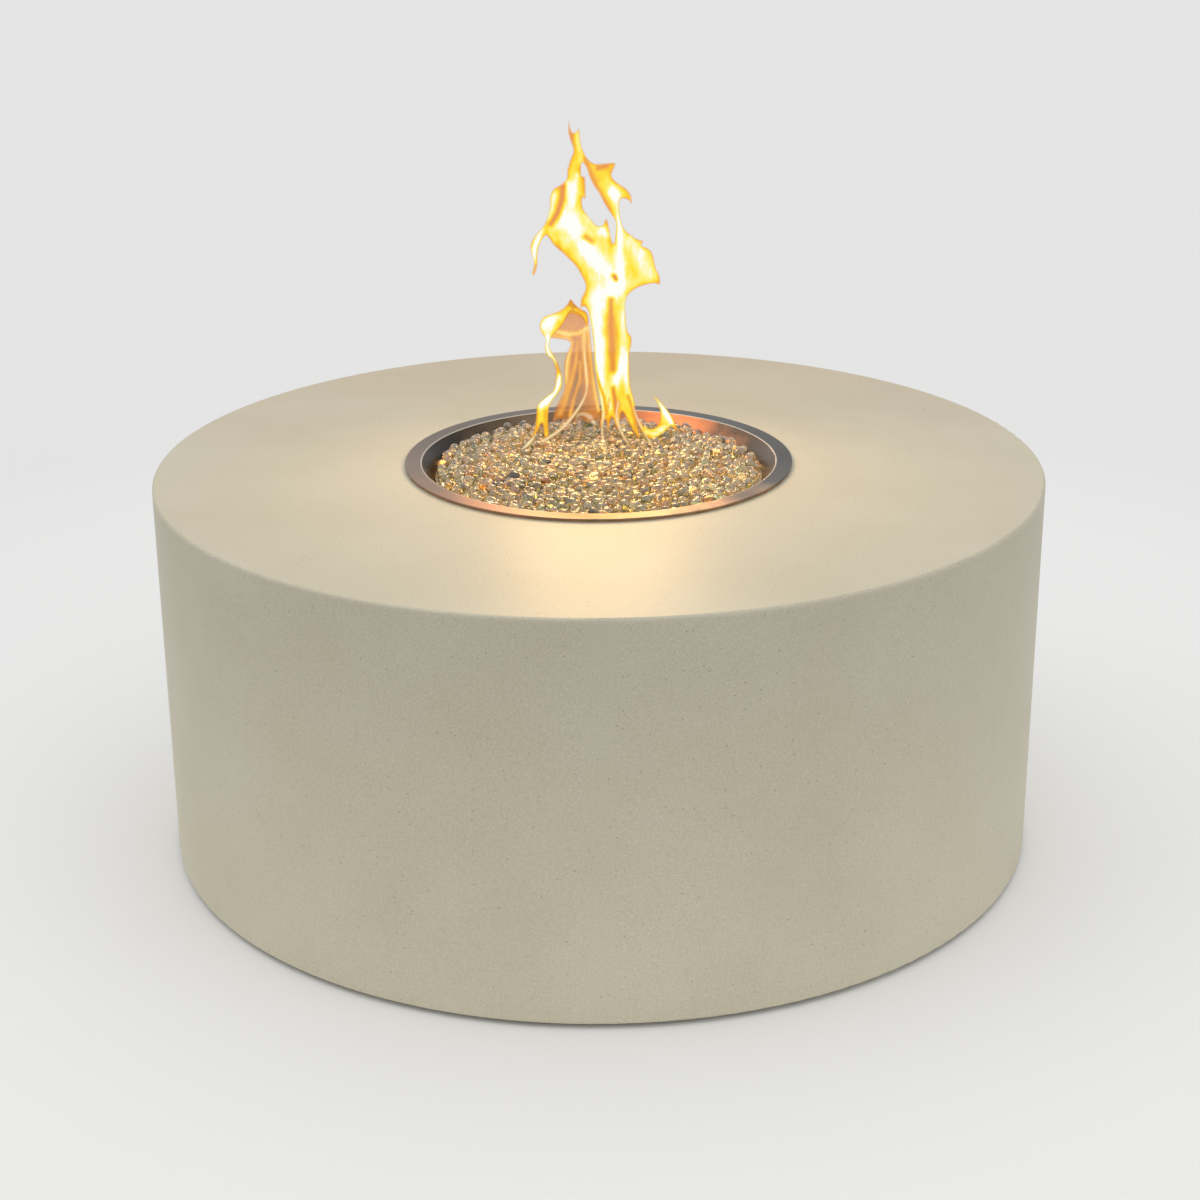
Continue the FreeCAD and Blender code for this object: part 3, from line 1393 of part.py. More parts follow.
def glass_drop():
    thick = drop_radius * drop_flatness
    cap = drop_cap_radius()
    lean = math.asin((drop_radius - drop_edge_radius) / (cap - drop_edge_radius))
    top = V(0, 0, thick)
    half = V(cap * math.sin(lean / 2), 0, thick - cap + cap * math.cos(lean / 2))
    edge = V(cap * math.sin(lean), 0, thick - cap + cap * math.cos(lean))
    below = [V(point.x, 0, -point.z) for point in (edge, half, top)]
    outline = Part.Wire([
        Part.Arc(top, half, edge).toShape(),
        Part.Arc(edge, V(drop_radius, 0, 0), below[0]).toShape(),
        Part.Arc(*below).toShape(),
        Part.LineSegment(below[2], top).toShape(),
    ])
    return Part.Face(outline).revolve(V(0, 0, 0), V(0, 0, 1), 360)


def glass_drops():
    """Flattened glass drops in an even spiral over the bed, each leaning its own way."""
    thick = drop_radius * drop_flatness
    cap = drop_cap_radius()
    shape = glass_drop()
    ball, centre_z = bed_sphere()
    reach = pan_inner_radius(lip_top - bed_below_lip) - drop_edge_margin
    golden = math.degrees(math.pi * (3 - math.sqrt(5)))
    near_flame = drop_radius + drop_clearance
    roots = []
    for y, stations in flame_tongues():
        low = min(x - half for x, _, half in stations[:2]) - near_flame
        high = max(x + half for x, _, half in stations[:2]) + near_flame
        roots.append((low, high, y, flame_depth + near_flame))
    drops = []
    for i in range(drop_count):
        radius = reach * math.sqrt((i + 0.5) / drop_count)
        place = point_at(radius, golden * i, 0)
        if any(low < place.x < high and abs(place.y - y) < side for low, high, y, side in roots):
            continue
        lean = math.radians(drop_lean * abs(math.sin(drop_lean_step * i)))
        rise = cap - (cap - thick) * math.cos(lean) + drop_clearance
        drop = shape.copy()
        drop.rotate(V(0, 0, 0), V(0, 1, 0), math.degrees(lean))
        drop.rotate(V(0, 0, 0), V(0, 0, 1), 180 * (1 + math.sin(drop_turn_step * i)))
        drop.translate(V(0, 0, ball + rise))
        drop.rotate(V(0, 0, 0), V(0, 1, 0), math.degrees(math.asin(radius / ball)))
        drop.translate(V(0, 0, centre_z))
        drops.append(turn(drop, golden * i))
    save("glass_drops", *drops)


def main():
    table_shell()
    feet()
    pan_and_gasket()
    burner()
    jet_nose = pipe_stack()
    valve_centre, valve_top, valve_bottom = key_valve()
    lead_start = igniter()
    lead_end = electrode()
    inlet_nose = gas_inlet()
    gas_hoses(valve_centre, valve_top, valve_bottom, inlet_nose, jet_nose)
    spark_lead(lead_start, lead_end)
    access_door()
    vents()
    wall_screws()
    glass_bed()
    flame()
    glass_drops()


main()
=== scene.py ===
import json
import math
from functools import partial

import bpy
import numpy as np
from bpy.props import FloatProperty, FloatVectorProperty, IntProperty, PointerProperty, StringProperty
from mathutils import Matrix, Vector


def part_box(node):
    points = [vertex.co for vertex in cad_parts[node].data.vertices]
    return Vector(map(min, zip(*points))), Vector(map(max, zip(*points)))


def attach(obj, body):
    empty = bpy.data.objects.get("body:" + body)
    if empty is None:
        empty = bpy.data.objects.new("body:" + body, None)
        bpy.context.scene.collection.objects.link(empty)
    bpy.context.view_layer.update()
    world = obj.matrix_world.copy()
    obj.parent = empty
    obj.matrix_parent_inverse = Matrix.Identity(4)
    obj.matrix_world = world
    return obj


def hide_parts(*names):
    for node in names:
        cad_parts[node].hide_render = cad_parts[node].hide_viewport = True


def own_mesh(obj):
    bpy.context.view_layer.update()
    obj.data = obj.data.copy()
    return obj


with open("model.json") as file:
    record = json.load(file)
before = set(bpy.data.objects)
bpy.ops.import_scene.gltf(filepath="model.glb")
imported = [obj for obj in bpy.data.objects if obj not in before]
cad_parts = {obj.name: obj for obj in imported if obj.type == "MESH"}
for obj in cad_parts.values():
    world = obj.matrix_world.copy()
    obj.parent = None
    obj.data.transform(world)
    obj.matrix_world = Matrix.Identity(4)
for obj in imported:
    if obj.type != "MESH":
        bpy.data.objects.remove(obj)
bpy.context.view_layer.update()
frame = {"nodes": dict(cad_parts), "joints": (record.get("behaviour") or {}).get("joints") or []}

bl_info = {
    "name": "Gas fire pit table",
    "version": (1, 0, 0),
    "blender": (4, 5, 0),
    "location": "3D View > Sidebar > Fire pit",
    "description": "Dresses a round concrete fire pit table with its materials, glass drops and flame",
    "category": "Object",
}

MM = 0.001
TINY = 1e-9
PICTURE_SIZE = 1200
SENSOR_MM = 36.0
# Nearly all of a noise's values lie between these two.
NOISE = (0.3, 0.7)
# Seeds of the random draws: the places of the drops of each layer, their kinds, and their shapes.
LOWER_SEED, UPPER_SEED, KIND_SEED, SHAPE_SEED = 3, 8, 21, 30

# The flame's tongues. Each has its distance behind the table's middle in millimetres, the warmth of
# its body, how much it hides, its outline and what holes it has, as columns and rows in the 1200 by
# 1200 picture.
TONGUES = {
    "body": (112, 0.62, 0.98, [
        (569, 118), (567.5, 128), (569, 138), (573, 150), (570, 159), (567, 169), (566, 179), (560, 184.5),
        (553, 189), (549.6, 197), (549.6, 206), (547, 217), (543, 226), (535, 235), (530, 245), (531, 254),
        (533.6, 264), (531.6, 274), (535, 275), (538, 264), (538, 253), (541, 243), (546.4, 236),
        (553, 245), (564, 255), (575, 266), (581, 276), (585, 285), (584, 292), (580.5, 299), (580, 309),
        (584, 307), (588, 312), (591, 328), (593, 345), (594, 366), (597, 386), (600, 402), (601, 414),
        (599, 427), (600.5, 430), (603, 424), (605.5, 420), (606.5, 428), (608.5, 434), (610, 427),
        (612, 418), (615, 425), (619, 432), (620, 424), (622, 412), (627, 421), (633, 431), (640, 440),
        (639, 429), (637, 418), (635, 402), (631, 386), (630, 369), (630, 354), (632, 344), (632, 337),
        (628, 331), (626.5, 321), (625.6, 306), (628, 296), (638, 288), (652, 284), (660, 284.5),
        (660, 276), (656, 267), (653, 254), (649, 248.5), (642, 245), (644.4, 241), (636, 238), (625, 229),
        (621, 218), (619.6, 206), (621, 199), (628, 200.5), (631.6, 205), (632, 197), (628, 190),
        (623, 186), (616, 181), (612, 175), (615, 167), (615, 162.5), (604, 163), (594, 163), (587, 157),
        (583, 149), (580.5, 139), (579.5, 127), (576.5, 131), (572.5, 132), (570.5, 126),
    ], [
        (582, 163), (586, 168), (589, 177), (594, 187), (599, 194), (604, 204), (610, 213.5), (615, 221),
        (615.5, 229), (613.6, 243), (611, 236), (609.5, 227), (606.5, 217.5), (602, 225), (596, 224.5),
        (588, 215), (583, 207), (583, 198), (586, 199), (585.5, 178), (581.8, 175),
    ]),
    "left_tongue": (118, 0.62, 0.98, [
        (529, 439), (534, 429), (535.6, 417), (537, 405), (546, 396), (553, 390), (555.5, 377),
        (554.6, 367), (552, 360), (547, 356), (544.5, 349), (545, 339), (541, 333), (539, 325), (543, 317),
        (550, 314), (559, 310.5), (566, 305), (570.5, 298.5), (575, 303.5), (581, 308.5), (587, 312.5),
        (589, 320), (586, 327), (583, 320), (577.5, 316), (571, 314.5), (567, 318), (563, 325), (557, 332),
        (551.5, 338), (549.5, 346), (553, 353), (558, 363), (562, 374), (562.5, 386), (558, 394),
        (551, 403.5), (549, 414), (549, 424), (549, 436), (544, 437), (542, 424), (538, 432),
    ]),
    "small_tongue": (126, 0.62, 0.98, [
        (651.5, 393), (658, 398.5), (664.5, 405), (670, 412.5), (675, 421.5), (679.5, 434), (675, 430),
        (671, 427), (666.4, 431), (659, 437), (652, 439.6), (645, 435.6), (638.5, 427), (635.5, 415),
        (641, 422), (647.4, 427.6), (653, 428), (658, 423.5), (660, 416), (659, 409), (656, 402),
    ]),
    "inner_loop": (104, 0.6, 0.95, [
        (616, 371), (610.5, 375), (608.7, 384), (609.4, 391), (607.8, 398), (606, 407), (604.5, 420),
        (608, 414), (611, 402), (613.7, 391), (616, 387), (617.2, 394), (616.8, 405), (616.5, 420),
        (619.8, 412), (621.2, 402), (622, 391), (622.4, 380), (621.3, 373), (618.6, 370),
    ]),
    "right_strand": (102, 0.62, 0.9, [
        (624, 380), (628, 394), (632, 410), (637, 422), (643, 434), (650, 445), (656, 457), (658.5, 457),
        (654.5, 448), (650, 439), (645, 430), (640, 420), (635, 408), (631, 394), (627, 380),
    ]),
    "floating_arc": (128, 0.75, 0.85, [
        (573.5, 424), (576, 414), (582, 411), (588, 412), (594, 416), (596, 424.5), (591, 423), (585, 418),
        (580, 417), (577, 421),
    ]),
    "left_foot": (100, 0.85, 0.95, [
        (537, 435), (534, 440), (530, 445), (525, 449), (519.5, 451), (523, 446.5), (527.5, 441.5),
        (532, 437),
    ]),
    "thin_left": (98, 0.62, 0.85, [
        (536, 443), (547, 436), (560, 427), (570, 416), (580, 402), (585, 389), (584, 372), (582, 345),
        (585, 345), (588, 370), (588.6, 389), (583.5, 404), (573.5, 419), (562, 431), (549, 440),
        (540, 444),
    ]),
    "thin_middle": (100, 0.62, 0.85, [
        (602, 412), (600.4, 427), (601.2, 441), (605, 450), (609.5, 454), (609.5, 452), (606, 446),
        (604.4, 436), (604, 426), (606, 412),
    ]),
    "thin_right": (100, 0.62, 0.85, [
        (617, 400), (614.5, 416), (617.6, 428), (622.6, 438), (629, 447), (633.5, 449.5), (631.5, 446),
        (626, 437), (621.4, 427), (619, 416), (620.5, 402),
    ]),
    "veil": (122, 0.32, 0.72, [
        (570.5, 298.5), (574, 303), (580, 308.5), (587, 312), (590, 325), (592, 345), (594, 366),
        (597, 386), (600, 402), (602, 414), (603, 425), (596, 421), (588, 424), (580, 421), (570, 424),
        (560, 420), (552, 423), (554, 410), (559, 400), (564, 388), (563.5, 375), (564, 362), (567, 352),
        (570, 344), (566, 340.5), (558, 339.5), (550, 338), (551, 333), (556, 329), (561, 320), (565, 310),
        (568.5, 303),
    ]),
}
# Streaks inside the tongues. Each has the warmth that it leads to, then column, row and half width
# along its path in the same picture.
STREAKS = {
    "body": [
        (1.05, [(604, 415, 3), (602, 402, 5), (601, 385, 6), (600, 360, 8), (600, 335, 9), (600, 315, 10),
                (603, 298, 13), (606, 282, 13), (600, 266, 11), (591, 252, 10), (580, 236, 11),
                (573, 222, 10), (569, 208, 8), (573, 192, 6), (577, 176, 4)]),
        (0.85, [(630, 240, 6), (638, 252, 8), (646, 265, 9), (651, 277, 6)]),
        (0.88, [(554, 195, 4), (552, 206, 4), (549, 218, 4)]),
        (1.0, [(569, 184, 4), (568, 198, 5), (566, 212, 5), (560, 226, 6)]),
        (1.05, [(616, 290, 10), (621, 268, 7), (620, 250, 5), (620, 232, 5), (620, 217, 5), (620, 203, 6),
                (613, 192, 5)]),
        (0.9, [(627, 300, 4), (623, 320, 5), (623, 345, 5.5), (625, 365, 6), (627, 385, 4), (631, 404, 4)]),
        (1.05, [(622, 350, 3), (622, 365, 5), (617, 377, 5), (612, 392, 4), (612, 408, 3)]),
        (1.0, [(546, 212, 4), (540, 234, 3), (534, 250, 3), (534, 262, 2)]),
        (1.0, [(590, 216, 6), (600, 229, 7), (606, 234, 5)]),
        (0.1, [(563, 186, 3), (562, 200, 4), (558, 212, 4), (551, 224, 3)]),
        (0.16, [(583, 158, 4), (589, 171, 5), (594, 184, 5), (600, 196, 5), (608, 209, 4)]),
        (0.1, [(570, 122, 4), (572, 133, 5), (572, 146, 4)]),
        (0.7, [(577, 133, 3), (578, 142, 4), (580, 153, 4), (581, 162, 3)]),
        (0.05, [(614, 276, 3), (616, 279, 3)]),
        (0.14, [(611, 300, 4), (611, 325, 6), (612, 350, 6.5), (613, 369, 5)]),
        (0.1, [(613, 388, 3), (615, 400, 4), (616, 412, 3)]),
        (0.2, [(586, 237, 4), (592, 241, 4)]),
        (0.2, [(596, 374, 2), (604, 398, 2), (606, 414, 2)]),
        (0.2, [(628, 396, 2), (633, 410, 2), (637, 428, 3)]),
        (0.15, [(607, 166, 3), (598, 168, 3)]),
    ],
    "left_tongue": [
        (1.05, [(541, 405, 5), (549, 398, 6), (557, 389, 5), (560, 376, 3)]),
        (1.05, [(544, 326, 8), (550, 321, 8), (557, 317, 5)]),
        (1.0, [(547, 338, 4), (548, 352, 3), (555, 361, 3)]),
        (0.25, [(536, 427, 3), (543, 432, 3)]),
        (0.3, [(546, 412, 3), (546, 428, 3)]),
    ],
    "small_tongue": [
        (1.05, [(654, 396, 3), (661, 404, 4), (667, 414, 5), (671, 422, 4)]),
        (0.75, [(665, 428, 4), (656, 434, 4), (647, 431, 3)]),
    ],
    "inner_loop": [
        (1.05, [(611, 385, 4), (613, 377, 5), (618, 373, 5), (620, 381, 3)]),
    ],
    "veil": [
        (0.02, [(576, 356, 5), (577, 370, 7), (576, 388, 9), (575, 404, 11), (575, 420, 12)]),
        (0.95, [(552, 330, 2.4), (560, 332.5, 2.6), (569, 334.5, 2.8), (578, 333.5, 2.4), (587, 328, 2)]),
        (0.75, [(552, 336, 2.6), (560, 337.5, 2.8), (569, 340, 3)]),
        (0.95, [(571, 343, 3.2), (568, 353, 3.2), (566.5, 364, 3), (566, 376, 2.8), (564, 390, 2.6),
                (559, 402, 2.4)]),
        (0.8, [(584, 333, 2.4), (584, 352, 2.4), (586, 368, 2.4), (587.5, 382, 2.2)]),
        (0.95, [(589, 325, 2.6), (591, 350, 3), (593, 372, 3), (596, 392, 2.8), (599, 410, 2.4)]),
        (0.6, [(578, 342, 2.4), (576, 362, 2.4), (572, 380, 2.6), (567, 396, 2.6), (560, 414, 2.6)]),
        (0.6, [(580, 362, 1.8), (580, 380, 1.8), (574, 398, 2), (570, 416, 2.2)]),
    ],
}
# The flame's pieces: the tongues that each holds, and its colours from the coolest gas to the hottest.
FLAME_PIECES = {
    "tongues": (("body", "left_tongue", "small_tongue", "inner_loop"), (
        (0.0, "#D8742A"), (0.16, "#EF962C"), (0.36, "#FFC22E"), (0.58, "#FFE640"), (0.8, "#FFF694"),
        (1.0, "#FFFFFA"))),
    "strands": (("right_strand", "floating_arc", "left_foot", "thin_left", "thin_middle", "thin_right"), (
        (0.0, "#F0BC7C"), (0.25, "#FFDCA0"), (0.5, "#FFF0C8"), (0.8, "#FFFAE2"), (1.0, "#FFFFFA"))),
    "veil": (("veil",), ((0.0, "#8E5D2C"), (0.3, "#DC8A3E"), (0.7, "#FFB94C"), (1.0, "#FFE28E"))),
}


def linear(colour):
    """Turns an sRGB hex colour into linear red, green, blue and a full alpha."""
    channels = [int(colour[i:i + 2], 16) / 255 for i in (1, 3, 5)]
    return [c / 12.92 if c <= 0.04045 else ((c + 0.055) / 1.055) ** 2.4 for c in channels] + [1.0]


def add_node(tree, kind, sockets=(), stops=(), **settings):
    """Adds one node and gives back its outputs.

    The sockets are given in order or by name, each as a value, a hex colour or another node's
    output. The stops are a colour ramp's places and hex colours.
    """
    node = tree.nodes.new("ShaderNode" + kind)
    for name, value in settings.items():
        setattr(node, name, value)
    for k, (place, colour) in enumerate(stops):
        ramp = node.color_ramp.elements
        stop = ramp[k] if k < len(ramp) else ramp.new(place)
        stop.position = place
        stop.color = linear(colour)
    for name, value in sockets.items() if isinstance(sockets, dict) else enumerate(sockets):
        if isinstance(value, bpy.types.NodeSocket):
            tree.links.new(value, node.inputs[name])
        else:
            node.inputs[name].default_value = linear(value) if isinstance(value, str) else value
    return node.outputs


def new_material(name):
    """A material with an empty tree, what adds a node to it, and the coordinates of its object."""
    material = bpy.data.materials.new(name)
    material.use_nodes = True
    material.node_tree.nodes.clear()
    add = partial(add_node, material.node_tree)
    return material, add, add("TexCoord")["Object"]


def shade(add, value, low, high, to_low, to_high, first, second):
    """A colour between two, by a share that follows a value from low to high.

    A Mix node's socket 0 is the share, 6 and 7 are the two colours, and output 2 is what they make.
    """
    share = add("MapRange", [value, low, high, to_low, to_high])[0]
    return add("Mix", {0: share, 6: first, 7: second}, data_type="RGBA")[2]


def distance_from_axis(add, place):
    """Distance of a point from the table's upright axis, in metres."""
    level = add("VectorMath", [place, (1, 1, 0)], operation="MULTIPLY")[0]
    return add("VectorMath", [level], operation="LENGTH")["Value"]


def cast_concrete(look):
    """Glass-fibre concrete, cast in a smooth mould and sealed: a sandy, finely pitted skin.

    Sand grains mottle the colour, small air pits show as dark dots of painted shade, and wide pale
    clouds come from uneven curing. The grains are drawn at twice their real size, so that they show.
    The wall has painted shade: darker under its top edge and paler towards its foot, while the top
    keeps its own colour. The back of the top has painted shade too, a little darker and warmer.
    The sealer gives it a weak, broad gloss.
    """
    material, add, place = new_material("cast_glass_fibre_concrete")
    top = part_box("table_shell")[1].z
    clouds = add("TexNoise", {"Vector": place, "Scale": 1 / (160 * MM), "Detail": 3})[0]
    base = shade(add, clouds, *NOISE, 0, 1, look.dark, look.light)
    grains = add("TexNoise", {"Vector": place, "Scale": 1 / look.grain, "Roughness": 0.7})[0]
    sand = shade(add, grains, 0.3, 0.75, 0, 1, look.grain_dark, look.grain_light)
    mottled = add("Mix", {0: 1.0, 6: base, 7: sand}, data_type="RGBA", blend_type="MULTIPLY")[2]

    cells = add("TexVoronoi", {"Vector": place, "Scale": 1 / look.pit_spacing})
    chance = add("SeparateColor", [cells["Color"]])[0]
    some = add("MapRange", [chance, 0.55, 0.6, 0, 1])[0]
    dots = add("MapRange", [cells["Distance"], 0.07, 0.13, 1, 0])[0]
    pits = add("Math", [dots, some], operation="MULTIPLY")[0]
    # Painted shade in the air pits: they are mixed towards a dark colour.
    shown = add("Math", [pits, 0.55], operation="MULTIPLY")[0]
    pitted = add("Mix", {0: shown, 6: mottled, 7: look.pit}, data_type="RGBA")[2]

    axes = add("SeparateXYZ", [place])
    # Painted shade: the wall is darker under its top edge and paler towards its foot. Near the top edge the
    # tone climbs back, so the top keeps its own colour.
    painted_shade_by_height = add("MapRange", [axes["Z"], top - 14 * MM, 20 * MM, look.painted_shade_high, look.painted_shade_low])[0]
    unshaded_top = add("MapRange", [axes["Z"], top - 6 * MM, top - 0.5 * MM, 0, 1 - look.painted_shade_high])[0]
    painted_wall_tone = add("Math", [painted_shade_by_height, unshaded_top], operation="ADD")[0]
    painted_wall_toned = add("VectorMath", {0: pitted, "Scale": painted_wall_tone}, operation="SCALE")[0]
    # Painted shade: the back of the top is a little darker and warmer.
    behind = add("MapRange", [axes["Y"], 0.05, 0.5, 0, 1])[0]
    on_top = add("MapRange", [axes["Z"], top - 4 * MM, top, 0, 1])[0]
    back_shade_share = add("Math", [behind, on_top], operation="MULTIPLY")[0]
    back_shaded = add("Mix", {0: back_shade_share, 6: painted_wall_toned, 7: look.painted_back_shade}, data_type="RGBA", blend_type="MULTIPLY")[2]

    coarse = 2 * look.grain
    lumps = add("TexNoise", {"Vector": place, "Scale": 1 / coarse, "Detail": 3, "Roughness": 0.6})[0]
    height = add("Math", [lumps, pits], operation="SUBTRACT")[0]
    normal = add("Bump", {"Strength": 0.6, "Distance": 0.5 * MM, "Height": height})[0]
    rough = add("MapRange", [grains, *NOISE, look.rough - 0.06, look.rough + 0.06])[0]
    skin = {"IOR": 1.6, "Base Color": back_shaded, "Roughness": rough, "Normal": normal}
    add("OutputMaterial", [add("BsdfPrincipled", skin)[0]])
    return material


def pan_steel(look):
    """Stainless sheet, spun to shape, with painted reflections of the fire and its dark surroundings.

    Spinning leaves fine rings about the axis, which stretch the highlights. They are drawn
    coarser than the real ones, so that they show. Its colour round the axis is painted
    reflection: brown to gold on the lip in front, dark on the wall behind on the left and copper
    on the right, and blue-grey on the right side. The lip's inner bend has a painted highlight.
    """
    material, add, place = new_material("spun_stainless_painted_reflections")
    radius = distance_from_axis(add, place)
    along = add("CombineXYZ", [radius])[0]
    rings = add("TexNoise", {"Vector": along, "Scale": 1 / (1.2 * MM), "Detail": 3})[0]
    smears = add("TexNoise", {"Vector": place, "Scale": 1 / (60 * MM), "Detail": 3})[0]

    axes = add("SeparateXYZ", [place])
    turn = add("Math", [axes["Y"], axes["X"]], operation="ARCTAN2")[0]
    wander = add("MapRange", [smears, *NOISE, -0.25, 0.25])[0]
    turned = add("Math", [turn, wander], operation="ADD")[0]
    share = add("MapRange", [turned, -math.pi, math.pi, 0, 1])[0]
    # Painted reflections: colours that change round the pan, one set for the lip and one for the wall.
    lip, wall = (add("ValToRGB", [share], tint_stops(t))[0] for t in (look.lip_painted_reflections, look.wall_painted_reflections))
    painted_reflection = shade(add, radius, look.bend + 0.6 * MM, look.bend, 0, 1, lip, wall)
    smeared = shade(add, smears, 0.5, 0.8, 0, 0.35, painted_reflection, look.smear)
    ringed = shade(add, rings, 0.35, 0.7, 0, 0.25, smeared, look.ring)
    # Painted highlight: a pale band along the lip's inner bend.
    aside = add("Math", [radius, look.bend + 0.9 * MM], operation="SUBTRACT")[0]
    off_bend = add("Math", [aside], operation="ABSOLUTE")[0]
    colour = shade(add, off_bend, 0.5 * MM, 1.2 * MM, 0.6, 0, ringed, look.bend_painted_highlight)

    rings_rough = add("MapRange", [rings, *NOISE, 0.2, 0.36])[0]
    smears_rough = add("MapRange", [smears, *NOISE, 0, 0.12])[0]
    rough = add("Math", [rings_rough, smears_rough], operation="ADD")[0]
    tangent = add("Tangent", direction_type="RADIAL", axis="Z")[0]
    normal = add("Bump", {"Strength": 0.5, "Distance": 0.02 * MM, "Height": rings})[0]
    skin = {"Metallic": 1.0, "Anisotropic": 0.5, "Base Color": colour, "Roughness": rough, "Normal": normal,
            "Tangent": tangent}
    add("OutputMaterial", [add("BsdfPrincipled", skin)[0]])
    return material


def tint_stops(tints):
    """Colour stops evenly spaced round the pan, from the colours of a comma-parted list."""
    colours = tints.split(",")
    return [(i / (len(colours) - 1), colour.strip()) for i, colour in enumerate(colours)]


def metal(name, colour, worn, roughness, grain_mm, stretch=(1, 1, 1), depth_mm=0.02):
    """A bare metal, with handling marks of 14 mm and the grain of its making.

    The grain is noise stretched along its direction. It is drawn coarser than the real one, so
    that it shows.
    """
    material, add, place = new_material(name)
    drawn = add("Mapping", {"Vector": place, "Scale": stretch})[0]
    grain = add("TexNoise", {"Vector": drawn, "Scale": 1 / (grain_mm * MM), "Detail": 3, "Roughness": 0.6})[0]
    marks = add("TexNoise", {"Vector": place, "Scale": 1 / (14 * MM), "Detail": 3})[0]
    marked = shade(add, marks, 0.4, 0.8, 0, 0.6, colour, worn)
    rough = add("MapRange", [grain, *NOISE, roughness * 0.8, roughness * 1.3])[0]
    normal = add("Bump", {"Strength": 0.4, "Distance": depth_mm * MM, "Height": grain})[0]
    skin = {"Metallic": 1.0, "Base Color": marked, "Roughness": rough, "Normal": normal}
    add("OutputMaterial", [add("BsdfPrincipled", skin)[0]])
    return material


def moulded(name, colour, worn, roughness, grain_mm, depth_mm, ior=1.5):
    """A plastic, rubber or glaze: the fine skin that its mould or kiln leaves, and 18 mm clouds."""
    material, add, place = new_material(name)
    grain = add("TexNoise", {"Vector": place, "Scale": 1 / (grain_mm * MM), "Detail": 3, "Roughness": 0.6})[0]
    cloud = add("TexNoise", {"Vector": place, "Scale": 1 / (18 * MM)})[0]
    cloudy = shade(add, cloud, 0.35, 0.75, 0, 1, colour, worn)
    rough = add("MapRange", [grain, *NOISE, roughness * 0.9, min(1.0, roughness * 1.15)])[0]
    normal = add("Bump", {"Strength": 0.5, "Distance": depth_mm * MM, "Height": grain})[0]
    skin = {"IOR": ior, "Base Color": cloudy, "Roughness": rough, "Normal": normal}
    add("OutputMaterial", [add("BsdfPrincipled", skin)[0]])
    return material


def fire_glass(name, colour, deep):
    """Tumbled soda-lime glass drops: clear bodies with a faint tint and a fire-polished skin.

    The tint gathers in streaks, and the skin ripples slowly, which bends what shows through.
    """
    material, add, place = new_material(name)
    drop_mm = 9
    streaks = add("TexNoise", {"Vector": place, "Scale": 1 / (drop_mm * MM), "Detail": 3})[0]
    streaky = shade(add, streaks, 0.35, 0.7, 0, 1, colour, deep)
    ripple = add("TexNoise", {"Vector": place, "Scale": 1 / (drop_mm * MM)})[0]
    normal = add("Bump", {"Strength": 0.3, "Distance": 0.3 * MM, "Height": ripple})[0]
    skin = {"IOR": 1.52, "Transmission Weight": 1.0, "Roughness": 0.06, "Coat Weight": 1.0,
            "Base Color": streaky, "Normal": normal}
    add("OutputMaterial", [add("BsdfPrincipled", skin)[0]])
    return material


def glass_below(look):
    """The lower drops of the heap, seen through the upper ones: painted light in each drop's middle, painted
    shade in the gaps between them.
    """
    material, add, place = new_material("shaded_glass_heap")
    cells = add("TexVoronoi", {"Vector": place, "Scale": 1 / (11 * MM)})["Distance"]
    patches = add("TexNoise", {"Vector": place, "Scale": 1 / (7 * MM), "Detail": 3})[0]
    middle = add("MapRange", [cells, 0.15, 0.55, 1, 0])[0]
    patchy = add("MapRange", [patches, 0.35, 0.6, 0.15, 1])[0]
    lit = add("Math", [middle, patchy], operation="MULTIPLY")[0]
    heap = add("Mix", {0: lit, 6: look.heap_painted_shade, 7: look.heap_painted_light}, data_type="RGBA")[2]
    normal = add("Bump", {"Strength": 0.8, "Distance": 3 * MM, "Height": cells})[0]
    skin = {"IOR": 1.5, "Roughness": 0.2, "Base Color": heap, "Normal": normal}
    add("OutputMaterial", [add("BsdfPrincipled", skin)[0]])
    return material


def burning_gas(name, stops):
    """Burning gas: it glows by its own heat, white in the middle of a tongue and orange at its edge.

    The warmth and the cover are worked out with the form. Slow licks, longer than they are
    wide, shift the warmth.
    """
    material, add, place = new_material(name)
    warmth, cover = (add("Attribute", attribute_name=label)["Fac"] for label in ("warmth", "cover"))
    licks = add("Mapping", {"Vector": place, "Scale": (1, 1, 0.4)})[0]
    flicker = add("TexNoise", {"Vector": licks, "Scale": 1 / (15 * MM), "Detail": 4, "Roughness": 0.65})[0]
    shift = add("MapRange", [flicker, *NOISE, -0.2, 0.26])[0]
    inside = add("MapRange", [warmth, 0.1, 0.45, 0, 1])[0]
    licked = add("Math", [shift, inside], operation="MULTIPLY")[0]
    moved = add("Math", [warmth, licked], operation="ADD")[0]
    colour = add("ValToRGB", [moved], stops)[0]
    glow = add("Emission", {"Color": colour, "Strength": 1.0})[0]
    clear = add("BsdfTransparent")[0]
    add("OutputMaterial", [add("MixShader", [cover, clear, glow])[0]])
    return material


def closed_curve(points, steps):
    """A closed curve through the points: between two, the cubic whose slopes follow their neighbours."""
    corner = np.asarray(points, float)
    a, b, c, d = (np.roll(corner, -k, 0)[:, None] for k in (-1, 0, 1, 2))
    t = (np.arange(steps) / steps)[None, :, None]
    bend = 2 * a - 5 * b + 4 * c - d + t * (3 * b - 3 * c + d - a)
    return (b + t * (c - a + t * bend) / 2).reshape(-1, 2)


